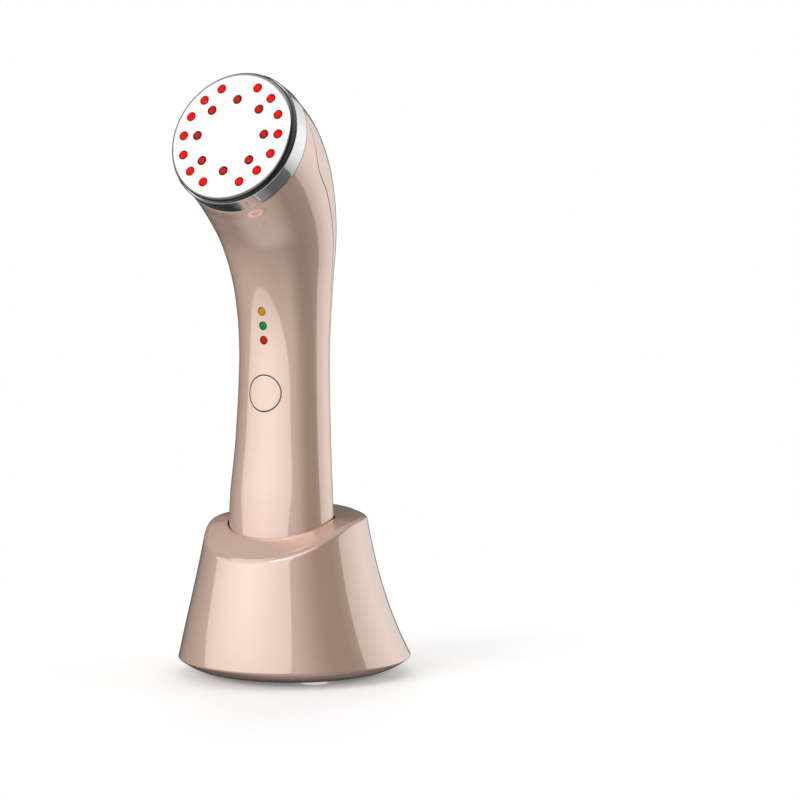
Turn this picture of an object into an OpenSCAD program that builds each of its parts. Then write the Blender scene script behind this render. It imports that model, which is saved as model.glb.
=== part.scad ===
// Ultrasonic beauty device: a lofted handset with a round, lit metal head,
// standing in a flared charging dock. Millimetres, +Z up, the face looks to -Y.

/* [Head] */
// Height of the middle of the face above the table
face_z = 181.3; // [176:0.5:188]
// Distance of the middle of the face ahead of the dock's axis
face_reach = 41.2; // [38:0.2:44]
// Angle at which the face looks up
face_tilt = 21.5; // [18:0.5:25]
// Diameter of the face plate
plate_d = 45.2; // [44:0.1:47]
// Thickness of the face plate
plate_t = 1.4; // [1:0.1:1.8]
// Radius of the face plate's rounded edge
plate_edge_r = 1.8; // [1:0.1:2.2]
// How far the chrome collar widens past the plate, each side, to the shells' rim
collar_flare = 0.7; // [0.4:0.1:1.9]
// Length from the face to the shells' rim, along the head's axis
head_len = 8.9; // [8.4:0.1:11]
// Distance from the plate's edge in to the middle of the outer ring of lights
outer_ring_in = 4.9; // [4.6:0.1:5.6]
// Distance between the two rings of lights
ring_gap = 5.2; // [4.4:0.1:5.5]
// Diameter of one light
led_d = 3; // [2.4:0.1:3.2]
// Gap between the ultrasonic disc and the inner ring's lenses
disc_gap = 0.9; // [0.5:0.1:2]

/* [Grip] */
// Width of the grip's foot
foot_w = 37.4; // [35:0.2:40]
// Depth of the grip's foot, front to back
foot_depth = 29; // [27:0.2:31]
// Distance of the grip's foot ahead of the dock's axis
foot_ahead = 9; // [7:0.1:10]
// Width of the waist
waist_w = 31.6; // [30:0.2:34]
// Depth of the waist, front to back
waist_depth = 27; // [25:0.2:29]
// Height of the waist above the table
waist_z = 110; // [104:1:116]
// Distance of the waist ahead of the dock's axis
waist_ahead = 6.4; // [5:0.1:8]
// How far the neck swells at its front
neck_swell = 1.2; // [0.6:0.1:1.6]
// How far the head swells at its back
head_swell = 0.9; // [0.4:0.1:1.4]
// Wall of the two shells
shell_wall = 2.4; // [2:0.1:2.8]

/* [Controls] */
// Height of the power button
button_z = 96.3; // [92:0.1:100]
// Diameter of the power button
button_d = 12.2; // [10:0.1:13]
// How far a button goes in
button_travel = 0.4; // [0.2:0.05:0.5]
// Gap round a button
button_gap = 0.15; // [0.1:0.05:0.25]
// Height of the middle indicator
indicator_z = 118.8; // [115:0.1:122]
// Pitch of the indicators
indicator_pitch = 4.8; // [4:0.1:5.5]
// Diameter of an indicator
indicator_d = 2.8; // [2:0.1:3.2]
// Height of the mode button
mode_z = 162; // [159:0.5:165]
// Width of the mode button's frame
mode_w = 14.4; // [13.6:0.1:15.2]
// Height of the mode button's frame, along the skin
mode_h = 19.3; // [17:0.1:20]
// Width of the frame round the mode button
mode_frame = 1; // [0.8:0.1:1.2]

/* [Back] */
// Width of the metal loop's band
loop_w = 3.5; // [3:0.1:4]
// Half width of the loop at its feet, to the middle of the band
loop_foot = 9.6; // [8.6:0.1:10]
// Half width of the loop at the waist
loop_waist = 4; // [3.6:0.1:4.6]
// Distance from the mode button's side to the middle of the band
loop_beside = 4.7; // [4.2:0.1:5]
// Distance from the mode button's top to the middle of the band
loop_over = 2.25; // [2.15:0.05:2.8]
// Depth of the seat for the loop and the inlay
seat_depth = 1.2; // [1:0.1:1.4]
// How far the loop's crown stands above the skin
loop_crown = 0.2; // [0:0.05:0.4]

/* [Dock] */
// Diameter of the dock at its lower crease
dock_d = 79.6; // [76:0.2:84]
// Diameter of the dock at its back rim
rim_d = 54; // [52:0.2:58]
// How much the side curves in below a straight line
dock_flare = 4.7; // [3:0.1:6]
// How far the rim sits ahead of the base
rim_ahead = 4.8; // [4:0.1:6]
// Height of the rim's crease at the back
rim_z = 54.1; // [52:0.1:57]
// Slope of the top at the back
top_slope = 0.06; // [0:0.01:0.12]
// How much steeper the top is at the front
front_slope = 0.43; // [0.36:0.01:0.5]
// Distance of the top's bend ahead of the dock's axis
bend_ahead = 5; // [2:0.5:9]
// Radius of the top's bend
bend_r = 28; // [20:1:40]
// Width of the rim's bevel at the back
bevel_back = 4.1; // [2.5:0.1:4.4]
// Width of the rim's bevel at the front
bevel_front = 1.4; // [1:0.1:3]
// Height of the base band, from its lower edge to the crease
band_h = 4.2; // [3.6:0.1:5.4]
// How far the base band draws in
band_in = 9.8; // [8:0.1:11]
// Wall of the dock
dock_wall = 2.4; // [2:0.1:3]
// Height of the well's floor above the table
well_floor_z = 24; // [22:0.5:26]
// Gap round the grip in the well
well_gap = 0.4; // [0.3:0.05:0.6]

/* [Feet and socket] */
// Height of the dock's underside above the table
underside_z = 1.2; // [1:0.1:2]
// Diameter of a rubber foot
pad_d = 9; // [7:0.5:10]
// Distance from the base plate's edge to a rubber foot
pad_in = 1.5; // [1:0.1:3]
// Height of the middle of the charging socket
usb_z = 13.8; // [13:0.1:15]
// Width of the socket's recess
recess_w = 12.2; // [11:0.1:14]
// Height of the socket above the recess's floor
recess_below = 4.4; // [3.4:0.1:5]
// Height from the socket to where the recess runs out at the top
recess_above = 2.6; // [2.2:0.1:4]

/* [Charging] */
// Distance between the two charging pins
pin_pitch = 12; // [10:0.5:14]
// Diameter of a charging pin's tip
pin_d = 1.6; // [1.2:0.1:2]
// How far a charging pin goes down
pin_travel = 0.7; // [0.4:0.1:0.8]
// Diameter of a contact in the grip's foot
contact_d = 4; // [3:0.2:5]

/* [Hidden] */

// Colours
rose = [0.86, 0.70, 0.64];
steel = [0.80, 0.81, 0.83];
board_green = [0.10, 0.35, 0.22];
black = [0.12, 0.12, 0.13];
gold = [0.85, 0.68, 0.32];

// Small clearances: between fixed pieces, between moving ones, and the adhesive
// under the metal loop and its inlay
seam = 0.05;
slip = 0.1;
bed = 0.15;

// Counts for the lofts
arc_steps = 18;
length_steps = 34;
round_steps = 48;

// Curves and blends

function mix(a, b, share) = a + (b - a) * share;

// A row between the rows of a list, on a smooth curve through all of them.
function smooth_row(rows, s) =
    let (last = len(rows) - 1,
        i = max(0, min(floor(s), last - 1)),
        t = s - i,
        b = rows[i],
        c = rows[i + 1],
        a = i > 0 ? rows[i - 1] : 2 * b - c,
        d = i < last - 1 ? rows[i + 2] : 2 * c - b)
    b + 0.5 * t * ((c - a) + t * ((2 * a - 5 * b + 4 * c - d)
        + t * (3 * b - a - 3 * c + d)));

// Skin a list of rings of equal length. Seen from above, each ring runs clockwise.
// With halves, the two ends are closed between the outer and the inner run of a ring.
// With crossed, each side face is split the other way, so that two lofts that run
// along one seam in opposite directions meet on the same facets.
module loft(rings, halves = false, crossed = false) {
    n = len(rings[0]);
    last = (len(rings) - 1) * n;
    sides = [for (i = [0:len(rings) - 2], j = [0:n - 1])
        let (k = (j + 1) % n, low = i * n, high = low + n)
        each crossed
            ? [[low + j, low + k, high + j], [low + k, high + k, high + j]]
            : [[low + j, low + k, high + k], [low + j, high + k, high + j]]];
    ring = [for (j = [0:n - 1]) j];
    strips = [for (j = [0:n / 2 - 2])
        each [[j, j + 1, n - 2 - j], [j, n - 2 - j, n - 1 - j]]];
    ends = halves ? strips : [ring];
    polyhedron(
        points = [for (r = rings) each r],
        faces = [
            each sides,
            for (f = ends) [for (v = [len(f) - 1:-1:0]) f[v]],
            for (f = ends) [for (v = f) last + v]],
        convexity = 8);
}

// Skin a closed run of rings, whose last ring joins the first.
module looped_loft(rings) {
    n = len(rings[0]);
    count = len(rings) * n;
    polyhedron(
        points = [for (r = rings) each r],
        faces = [for (i = [0:len(rings) - 1], j = [0:n - 1])
            let (k = (j + 1) % n, low = i * n, high = (low + n) % count)
            each [[low + j, low + k, high + k], [low + j, high + k, high + j]]],
        convexity = 8);
}

// Points of an arc in the plane, from angle a to angle b.
function arc(centre, r, a, b, steps = 6) =
    [for (i = [0:steps]) centre + r * [cos(a + (b - a) * i / steps), sin(a + (b - a) * i / steps)]];

module rounded_plate(w, h, r) {
    polygon([
        each arc([w / 2 - r, h / 2 - r], r, 0, 90),
        each arc([r - w / 2, h / 2 - r], r, 90, 180),
        each arc([r - w / 2, r - h / 2], r, 180, 270),
        each arc([w / 2 - r, r - h / 2], r, 270, 360)]);
}

// The handset's form

// Middle of the shells' rim, where the collar starts
collar_d = plate_d + 2 * collar_flare;
rim_mid_y = -face_reach + head_len * cos(face_tilt);
rim_mid_z = face_z - head_len * sin(face_tilt);
rim_lean = 90 - face_tilt;
foot_z = well_floor_z + slip;

// Sections as half width, depth to the front and depth to the back
foot_size = [foot_w, foot_depth, foot_depth] / 2;
waist_size = [waist_w, waist_depth, waist_depth] / 2;
rim_size = [1, 1, 1] * collar_d / 2;
swell_at_neck = [0, neck_swell, neck_swell / 3];
swell_at_head = [0, 0, head_swell];

function station(ahead, z, lean, size, seam_q) = [-ahead, z, lean, size[0], size[1], size[2], seam_q];

// A section of the grip or of the neck: its shares of the way along in reach, in height
// and in size, its lean, how much it swells, and how far round its seam is from its
// widest line towards the back.
function grip_station(reach, height, share, seam_q) =
    station(mix(foot_ahead, waist_ahead, reach), mix(foot_z, waist_z, height), 0,
        mix(foot_size, waist_size, share), seam_q);

function neck_station(reach, height, share, lean, swell, seam_q) =
    station(mix(waist_ahead, -rim_mid_y, reach), mix(waist_z, rim_mid_z, height), lean * rim_lean,
        mix(waist_size, rim_size, share) + swell, seam_q);

// Sections of the handset from its foot to the shells' rim
stations = [
    grip_station(0, 0, 0, 12),
    grip_station(0, 0.21, 0, 12),
    grip_station(0.04, 0.42, 0.13, 12),
    grip_station(0.6, 0.674, 0.68, 13),
    neck_station(0, 0, 0, 0, swell_at_neck / 4, 13),
    neck_station(0.015, 0.309, 0.15, 0.044, swell_at_neck, 12),
    neck_station(0.136, 0.558, 0.5, 0.219, swell_at_head, 8),
    neck_station(0.377, 0.764, 0.8, 0.496, swell_at_head, 2),
    neck_station(0.671, 0.908, 0.96, 0.788, swell_at_head / 2, 0),
    neck_station(1, 1, 1, 1, 0 * swell_at_head, 28)];
rim_s = len(stations) - 1;

function at_station(s) = smooth_row(stations, s);

// A point of one section: across is the distance from the middle plane, inward the
// depth below the skin, and side is -1 at the front and 1 at the back.
function section_point(st, side, across, inward) =
    let (w = st[3],
        d = side < 0 ? st[4] : st[5],
        rise = sqrt(max(0, 1 - (across / w) ^ 2)),
        normal = [across / w / w, rise / d],
        unit = normal / norm(normal),
        x = across - inward * unit[0],
        v = side * (d * rise - inward * unit[1]))
    [x, st[0] + v * cos(st[2]), st[1] + v * sin(st[2])];

// The same point by the height of the skin above it.
function find_s(side, across, z, low = 0, high = rim_s, steps = 18) =
    steps == 0 ? (low + high) / 2 :
    let (mid = (low + high) / 2)
    section_point(at_station(mid), side, across, 0)[2] < z
        ? find_s(side, across, z, mid, high, steps - 1)
        : find_s(side, across, z, low, mid, steps - 1);

function skin_point(side, across, z, inward = 0) =
    section_point(at_station(find_s(side, across, z)), side, across, inward);

// Turn about X that takes +Z to the skin's outward direction in the middle plane.
function skin_turn(side, z) =
    let (along = skin_point(side, 0, z + 0.5) - skin_point(side, 0, z - 0.5))
    atan2(side * -along[2], side * -along[1]);

// A half ring of one section, from seam to seam and back inside the wall.
function half_ring(st, side, wall) =
    let (first = side < 0 ? -st[6] : 180 + st[6],
        sweep = side < 0 ? 180 + 2 * st[6] : 180 - 2 * st[6],
        angles = [for (i = [0:arc_steps]) first + sweep * i / arc_steps],
        run = function(in, q) [(st[3] - in) * cos(q), -((sin(q) > 0 ? st[4] : st[5]) - in) * sin(q)])
    [for (p = [for (q = angles) run(0, q), for (i = [arc_steps:-1:0]) run(wall, angles[i])])
        [p[0], st[0] + p[1] * cos(st[2]), st[1] + p[1] * sin(st[2])]];

module half_shell(side) {
    loft([for (i = [0:length_steps])
        half_ring(at_station(rim_s * i / length_steps), side, shell_wall)],
        halves = true, crossed = side > 0);
}

// Depth of the front shell's inside below the skin's middle, straight in.
function front_inside(z, across) =
    let (st = at_station(find_s(-1, 0, z)))
    st[4] - (st[4] - shell_wall) * sqrt(1 - (across / (st[3] - shell_wall)) ^ 2);

// A piece of the wall between two depths below the skin. Each row holds the
// half width and the height of the skin there, from the lowest row to the highest.
module skin_block(side, rows, outer, inner, columns) {
    loft([for (row = rows)
        let (xs = [for (i = [0:columns]) side * row[0] * (2 * i / columns - 1)])
        [for (x = xs) skin_point(side, x, row[1], outer),
            for (i = [columns:-1:0]) skin_point(side, xs[i], row[1], inner)]],
        halves = true);
}

function block_rows(z, half_w, half_h, steps) =
    [for (i = [0:steps]) [half_w, z + half_h * (2 * i / steps - 1)]];

// Put children with +Z along the head's axis and zero on the face.
module on_face() {
    translate([0, -face_reach, face_z]) rotate([90 - face_tilt, 0, 0]) children();
}

// Put children on the front, with +Z straight out to -Y.
module on_front(z) {
    translate(skin_point(-1, 0, z)) rotate([90, 0, 0]) children();
}

// Put children on the back, with +Z square to the skin.
module on_back(z) {
    translate(skin_point(1, 0, z)) rotate([skin_turn(1, z), 0, 0]) children();
}

// The part's own origin is under the middle of its box.
front_reach = face_reach + sin(face_tilt) * plate_d / 2;
dock_y = (front_reach - dock_d / 2) / 2;

module in_frame() {
    translate([0, dock_y, 0]) children();
}

// The inside of the handset

// Switches under the buttons
switch_w = 6;
switch_h = 3.3;
plunger_d = 3.3;
plunger_out = 0.9;
stem_len = 3.9;

// The main board stands upright in the grip, behind the power button's switch
board_t = 1.2;
board_front_y = skin_point(-1, 0, button_z)[1] + stem_len + plunger_out + switch_h;
board_back_y = board_front_y + board_t;
board_side = 5.8;
board_w = waist_w - 2 * board_side;
board_low_z = mix(foot_z, waist_z, 0.42);
board_high_z = mix(waist_z, mode_z, 0.5);
corner_r = 2;

// Battery behind the board
battery_w = board_w - corner_r;
battery_h = 48;
battery_t = 7.6;
battery_z = waist_z - 12;

// Screws that hold the shells, hidden under the inlay
screw_in = 4;
screw_zs = [board_low_z + screw_in, board_high_z - screw_in];
screw_d = 2;
screw_head_d = 3.6;
screw_head_t = 1;
screw_grip = 4;
boss_d = 5.6;

// Length of the cutters that pass right through
through = 40;

module shell_bores(d) {
    for (z = screw_zs)
        translate([0, board_back_y, z]) rotate([-90, 0, 0]) cylinder(d = d, h = through, $fn = 32);
}

function screw_seat_y(z) = skin_point(1, 0, z, seat_depth)[1] - screw_head_t - slip;

module front_shell() {
    reach = button_d / 2;
    color(rose) in_frame() difference() {
        union() {
            half_shell(-1);
            for (z = screw_zs) {
                wall_y = skin_point(-1, 0, z, shell_wall / 2)[1];
                translate([0, wall_y, z]) rotate([-90, 0, 0])
                    cylinder(d = boss_d, h = board_front_y - wall_y, $fn = 32);
            }
        }
        on_front(button_z) translate([0, 0, -reach])
            cylinder(r = reach + button_gap, h = 2 * reach, $fn = 64);
        for (i = [-1:1])
            on_front(indicator_z + i * indicator_pitch) translate([0, 0, -reach])
                cylinder(d = indicator_d + 2 * seam, h = 2 * reach, $fn = 32);
        for (z = screw_zs)
            translate([0, board_front_y - screw_grip - 1, z]) rotate([-90, 0, 0])
                cylinder(d = screw_d + 2 * seam, h = screw_grip + 2, $fn = 32);
    }
}

// The metal loop's middle line on the back, half of it, from its foot to its top:
// distance from the middle plane and height. It narrows to the waist, then widens to
// an arch round the mode button.
loop_side = mode_w / 2 + loop_beside;
loop_rise = mode_h / 2 + loop_over;

function loop_grip(narrow, height) =
    [mix(loop_foot, loop_waist, narrow), mix(foot_z, waist_z, height)];

function loop_neck(widen, height) =
    [mix(loop_waist, loop_side, widen), mix(waist_z, mode_z, height)];

loop_half = [
    loop_grip(0, 0.233),
    loop_grip(0.18, 0.36),
    loop_grip(0.59, 0.534),
    loop_grip(0.893, 0.767),
    loop_grip(1, 0.965),
    loop_neck(0.063, 0.23),
    loop_neck(0.253, 0.52),
    loop_neck(0.506, 0.762),
    loop_neck(0.747, 0.892),
    loop_neck(1, 1),
    [0.9 * loop_side, mode_z + 0.4 * loop_rise],
    [0.52 * loop_side, mode_z + 0.773 * loop_rise],
    [0, mode_z + loop_rise]];
loop_top = len(loop_half) - 1;
loop_line = [each loop_half, for (i = [loop_top - 1:-1:0]) [-loop_half[i][0], loop_half[i][1]]];

// A point beside the loop's middle line, out being positive away from its inside.
function loop_edge(u, out) =
    let (step = 0.02,
        along = smooth_row(loop_line, u + step) - smooth_row(loop_line, u - step),
        unit = along / norm(along))
    smooth_row(loop_line, u) + out * [unit[1], -unit[0]];

// Rows of a plate whose sides follow the loop, out from its middle line.
function plate_rows(out, steps, start = 0) =
    [for (i = [0:steps]) loop_edge(mix(start, loop_top - 0.03, i / steps), out)];

module electrode_loop() {
    half = loop_w / 2;
    steps = 72;
    // Across the band and down from the skin: a low crown with soft edges
    profile = [[-half, 0.1], [-half / 2, -loop_crown], [half / 2, -loop_crown], [half, 0.1],
        [half, seat_depth - bed], [-half, seat_depth - bed]];
    color(steel) in_frame()
        loft([for (i = [0:steps])
            let (u = 2 * loop_top * i / steps)
            [for (p = profile)
                let (e = loop_edge(u, p[0]))
                skin_point(1, e[0], e[1], p[1])]]);
}

module mode_outline(grow) {
    w = mode_w / 2 + grow;
    h = mode_h / 2 + grow * 1.4;
    flat = 2.4;
    tip_r = 1.6;
    side_r = 1;
    slope = atan2(h - flat, w);
    tip = tip_r / cos(slope);
    polygon([for (turn = [0, 180]) each [
        for (p = arc([0, h - tip], tip_r, 90 - slope, 90 + slope))
            [p[0] * cos(turn), p[1] * cos(turn)],
        for (p = arc([side_r - w, flat - side_r * tan(slope / 2)], side_r, 90 + slope, 180, 3))
            [p[0] * cos(turn), p[1] * cos(turn)],
        for (p = arc([side_r - w, side_r * tan(slope / 2) - flat], side_r, 180, 270 - slope, 3))
            [p[0] * cos(turn), p[1] * cos(turn)]]]);
}

// Depths of the mode button's parts below the skin
mode_floor = shell_wall + 0.8;
mode_cup = mode_floor + 1;
mode_stem_end = mode_cup + 2 * button_travel;
mode_stem_d = 5;
mode_switch_top = mode_stem_end + plunger_out;
mode_board_top = mode_switch_top + switch_h;
mode_board_w = mode_w - 0.4;
mode_board_h = 2 * switch_w;

module mode_prism(grow, low, high) {
    translate([0, 0, low]) linear_extrude(high - low) mode_outline(grow);
}

module mode_skin(outer, inner) {
    skin_block(1, block_rows(mode_z, mode_w * 0.75, mode_h * 0.65, 8), outer, inner, 8);
}

module rear_inlay() {
    color(rose) in_frame() difference() {
        skin_block(1, plate_rows(-loop_w / 2 - slip, 30), 0.1, seat_depth - bed, 6);
        on_back(mode_z) mode_prism(slip, -4, 4);
    }
}

module rear_shell() {
    color(rose) in_frame() difference() {
        union() {
            half_shell(1);
            for (z = screw_zs) {
                wall_y = skin_point(1, 0, z, (shell_wall + seat_depth) / 2)[1];
                translate([0, board_back_y, z]) rotate([-90, 0, 0])
                    cylinder(d = boss_d, h = wall_y - board_back_y, $fn = 32);
            }
        }
        skin_block(1, plate_rows(loop_w / 2 + slip, 36, -0.04), -1.5, seat_depth, 8);
        shell_bores(screw_d + 2 * slip);
        for (z = screw_zs)
            translate([0, screw_seat_y(z), z]) rotate([-90, 0, 0])
                cylinder(d = screw_head_d + 2 * slip, h = through, $fn = 32);
        on_back(mode_z) mode_prism(slip, -8, 4);
    }
}

module mode_bezel() {
    color(steel) in_frame() difference() {
        union() {
            intersection() {
                mode_skin(0, 7);
                on_back(mode_z) mode_prism(0, -mode_cup, 3);
            }
            intersection() {
                mode_skin(shell_wall + 2 * slip, shell_wall + 1.2);
                on_back(mode_z) mode_prism(1.2, -8, 3);
            }
            on_back(mode_z) for (x = [-1, 1])
                translate([x * (switch_w / 2 + 2), 0, -mode_board_top])
                    cylinder(d = 2.4, h = mode_board_top - mode_cup + 0.5, $fn = 24);
        }
        on_back(mode_z) {
            mode_prism(-mode_frame, -mode_floor, 4);
            translate([0, 0, -8]) cylinder(d = mode_stem_d + 2 * button_gap, h = 8, $fn = 32);
        }
    }
}

module mode_button() {
    color(rose) in_frame() {
        intersection() {
            mode_skin(0, 7);
            on_back(mode_z) mode_prism(-mode_frame - button_gap, slip + button_travel - mode_floor, 3);
        }
        on_back(mode_z) translate([0, 0, -mode_stem_end])
            cylinder(d = mode_stem_d, h = mode_stem_end - 2, $fn = 32);
    }
}

// The switch's plunger and body, with the plunger's tip at zero and +Z out.
module plunger() {
    translate([0, 0, -plunger_out - 1.2]) cylinder(d = plunger_d, h = plunger_out + 1.2, $fn = 32);
}

module switch_body() {
    translate([0, 0, -plunger_out - switch_h]) difference() {
        linear_extrude(switch_h) square(switch_w, center = true);
        translate([0, 0, switch_h - 2]) cylinder(d = plunger_d + 2 * button_gap, h = 3, $fn = 32);
    }
}

module mode_plunger() {
    color(black) in_frame() on_back(mode_z) translate([0, 0, -mode_stem_end]) plunger();
}

module mode_switch() {
    color(steel) in_frame() on_back(mode_z) translate([0, 0, -mode_stem_end]) switch_body();
}

module mode_board() {
    color(board_green) in_frame() on_back(mode_z) translate([0, 0, -mode_board_top - 1])
        linear_extrude(1) rounded_plate(mode_board_w, mode_board_h, 1);
}

module power_button() {
    r = button_d / 2;
    bore_r = switch_w * 0.5 * sqrt(2) + 0.6;
    flange_r = r + 1.1;
    // The flange bears on the inside of the curved wall
    flange_top = front_inside(button_z, flange_r) + slip;
    color(rose) in_frame() {
        intersection() {
            skin_block(-1, block_rows(button_z, r + 1, r + 1, 6), 0, 1.6, 8);
            on_front(button_z) translate([0, 0, -r]) cylinder(r = r, h = 2 * r, $fn = 64);
        }
        on_front(button_z) {
            difference() {
                translate([0, 0, -flange_top - 0.9]) cylinder(r = r, h = flange_top - 1.1, $fn = 64);
                translate([0, 0, -flange_top - 2]) cylinder(r = bore_r, h = flange_top + 4, $fn = 48);
            }
            translate([0, 0, -flange_top - 0.9]) difference() {
                cylinder(r = flange_r, h = 0.9, $fn = 64);
                translate([0, 0, -1]) cylinder(r = bore_r, h = 3, $fn = 48);
            }
            translate([0, 0, -stem_len]) cylinder(d = 4.4, h = stem_len - 0.8, $fn = 32);
        }
    }
}

module power_plunger() {
    color(black) in_frame() on_front(button_z) translate([0, 0, -stem_len]) plunger();
}

module power_switch() {
    color(steel) in_frame() on_front(button_z) translate([0, 0, -stem_len]) switch_body();
}

// A light guide from the main board to just under the skin.
module indicator(step) {
    z = indicator_z + step * indicator_pitch;
    depth = board_front_y - skin_point(-1, 0, z)[1];
    in_frame() on_front(z) translate([0, 0, -depth])
        cylinder(d = indicator_d, h = depth - 0.15, $fn = 32);
}

module indicator_yellow() {
    color([0.93, 0.68, 0.10]) indicator(1);
}

module indicator_green() {
    color([0.05, 0.55, 0.25]) indicator(0);
}

module indicator_red() {
    color([0.85, 0.08, 0.08]) indicator(-1);
}

module main_board() {
    color(board_green) in_frame() difference() {
        translate([0, board_back_y, (board_low_z + board_high_z) / 2]) rotate([90, 0, 0])
            linear_extrude(board_t) rounded_plate(board_w, board_high_z - board_low_z, corner_r);
        translate([0, -3 * board_t, 0]) shell_bores(screw_d + 2 * slip);
    }
}

module battery() {
    color([0.55, 0.60, 0.68]) in_frame()
        translate([0, board_back_y, battery_z]) rotate([-90, 0, 0])
            linear_extrude(battery_t) rounded_plate(battery_w, battery_h, corner_r);
}

module shell_screws() {
    color(steel) in_frame() for (z = screw_zs)
        translate([0, screw_seat_y(z), z]) rotate([-90, 0, 0]) {
            difference() {
                cylinder(d = screw_head_d, h = screw_head_t, $fn = 32);
                for (turn = [0, 90])
                    rotate([0, 0, turn]) translate([0, 0, screw_head_t])
                        cube([2.4, 0.5, 1], center = true);
            }
            translate([0, 0, board_front_y - screw_grip - screw_seat_y(z)])
                cylinder(d = screw_d, h = screw_seat_y(z) - board_front_y + screw_grip, $fn = 32);
        }
}

// The lit head

outer_ring_r = plate_d / 2 - outer_ring_in;
inner_ring_r = outer_ring_r - ring_gap;
lens_rim = 0.3;
disc_d = 2 * (inner_ring_r - led_d / 2 - lens_rim - disc_gap);
skirt_in = 1.1;
skirt_wall = 1.4;
skirt_r = plate_d / 2 - skirt_in;
skirt_end = 6.2;
groove = 0.3;
flange_end = plate_edge_r + 0.4;
led_ring_inner = [for (i = [0:7]) [inner_ring_r, 90 + 45 * i]];
led_ring_outer = [for (i = [1:15]) if (i != 8) [outer_ring_r, 90 + 22.5 * i]];

module at_leds(ring) {
    for (p = ring) rotate([0, 0, p[1]]) translate([p[0], 0, 0]) children();
}

module face_plate() {
    r = plate_d / 2;
    color(steel) in_frame() on_face() difference() {
        rotate_extrude($fn = 120) polygon([
            [0, 0],
            each [for (i = [6:-1:0]) [r - plate_edge_r + plate_edge_r * cos(15 * i),
                plate_edge_r * sin(15 * i) - plate_edge_r]],
            [r, -flange_end], [skirt_r, -flange_end], [skirt_r, -skirt_end],
            [skirt_r - skirt_wall, -skirt_end], [skirt_r - skirt_wall, -plate_t], [0, -plate_t]]);
        at_leds([each led_ring_inner, each led_ring_outer])
            translate([0, 0, -4]) cylinder(d = led_d + slip, h = 8, $fn = 32);
    }
}

module head_collar() {
    r = collar_d / 2;
    front_r = (plate_d / 2 + r) / 2 + 0.1;
    front = flange_end + groove;
    sleeve_r = r - shell_wall - 0.6;
    sleeve_in = min(skirt_r - skirt_wall - 0.8, sleeve_r - 1);
    sleeve_end = head_len + 1.5;
    color(steel) in_frame() on_face() rotate_extrude($fn = 120) polygon([
        [skirt_r + slip, -front], [front_r - 0.3, -front], [front_r, -front - 0.3],
        [r, 0.3 - head_len], [r - 0.3, -head_len], [sleeve_r, -head_len], [sleeve_r, -sleeve_end],
        [sleeve_in, -sleeve_end], [sleeve_in, -skirt_end], [skirt_r + slip, -skirt_end]]);
}

module led_lens() {
    translate([0, 0, -plate_t - 1]) {
        cylinder(d = led_d, h = plate_t + 1, $fn = 32);
        cylinder(d = led_d + 2 * lens_rim, h = 1, $fn = 32);
    }
}

module led_lenses_inner() {
    color([0.88, 0.08, 0.08]) in_frame() on_face() at_leds(led_ring_inner) led_lens();
}

module led_lenses_outer() {
    color([0.88, 0.08, 0.08]) in_frame() on_face() at_leds(led_ring_outer) led_lens();
}

module led_chips() {
    color([0.9, 0.9, 0.85]) in_frame() on_face()
        at_leds([each led_ring_inner, each led_ring_outer])
            translate([0, 0, -plate_t - 1.6]) cube([2, 2, 1.2], center = true);
}

module led_board() {
    color(board_green) in_frame() on_face() translate([0, 0, -plate_t - 2.2 - board_t]) difference() {
        cylinder(r = skirt_r - skirt_wall - slip, h = board_t, $fn = 96);
        translate([0, 0, -1]) cylinder(r = disc_d / 2 + 0.5, h = board_t + 2, $fn = 64);
    }
}

module ultrasonic_disc() {
    color([0.75, 0.70, 0.55]) in_frame() on_face()
        translate([0, 0, -plate_t - 2.4]) cylinder(d = disc_d, h = 2.4, $fn = 64);
}

// The grip's foot

contact_in = 0.8;

module foot_cap() {
    cap_t = 3;
    steps = 2 * arc_steps;
    a = foot_w / 2 - shell_wall - slip;
    b = foot_depth / 2 - shell_wall - slip;
    rings = [for (row = [[0.4, 0], [0, 0.4], [0, cap_t]])
        [for (i = [0:steps - 1]) let (q = 360 * i / steps)
            [(a - row[0]) * cos(q), -foot_ahead - (b - row[0]) * sin(q), foot_z + row[1]]]];
    color(black) in_frame() difference() {
        loft(rings);
        for (x = [-1, 1]) translate([x * pin_pitch / 2, -foot_ahead, foot_z]) {
            translate([0, 0, -1]) cylinder(d = contact_d + slip, h = 1 + contact_in + 1, $fn = 32);
            cylinder(d = 1.6, h = 2 * cap_t, $fn = 24);
        }
    }
}

module charge_contacts() {
    color(gold) in_frame() for (x = [-1, 1])
        translate([x * pin_pitch / 2, -foot_ahead, foot_z + contact_in]) {
            cylinder(d = contact_d, h = 0.9, $fn = 32);
            cylinder(d = 1.5, h = 4, $fn = 24);
        }
}

// The dock's form

dock_low_z = underside_z + band_h;
rim_back_y = rim_d / 2 - rim_ahead;

function dock_share(z) = (z - dock_low_z) / (rim_z - dock_low_z);

function dock_r(z) =
    let (u = dock_share(z))
    dock_d / 2 - (dock_d - rim_d) / 2 * u - dock_flare * u * (1 - u);

function dock_mid_y(z) = -rim_ahead * (1 - (1 - dock_share(z)) ^ 3);

// Height of the rim's crease at a distance behind the dock's axis: nearly level at
// the back, then bending down towards the front.
bend_run = bend_r * front_slope;

function bend_fall(d) =
    d < bend_run ? max(0, d) ^ 2 / 2 / bend_r : front_slope * (d - bend_run / 2);

function crease_z(y) = rim_z - top_slope * (rim_back_y - y) - bend_fall(-bend_ahead - y);

// Height of the crease at an angle round the dock.
function rim_top(q, z = 50, steps = 10) =
    steps == 0 ? z : rim_top(q, crease_z(dock_mid_y(z) - dock_r(z) * sin(q)), steps - 1);

function dock_ring(inset, z_of_q) =
    [for (i = [0:round_steps - 1])
        let (q = 360 * i / round_steps, z = z_of_q(q))
        [(dock_r(z) - inset) * cos(q), dock_mid_y(z) - (dock_r(z) - inset) * sin(q), z]];

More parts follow.
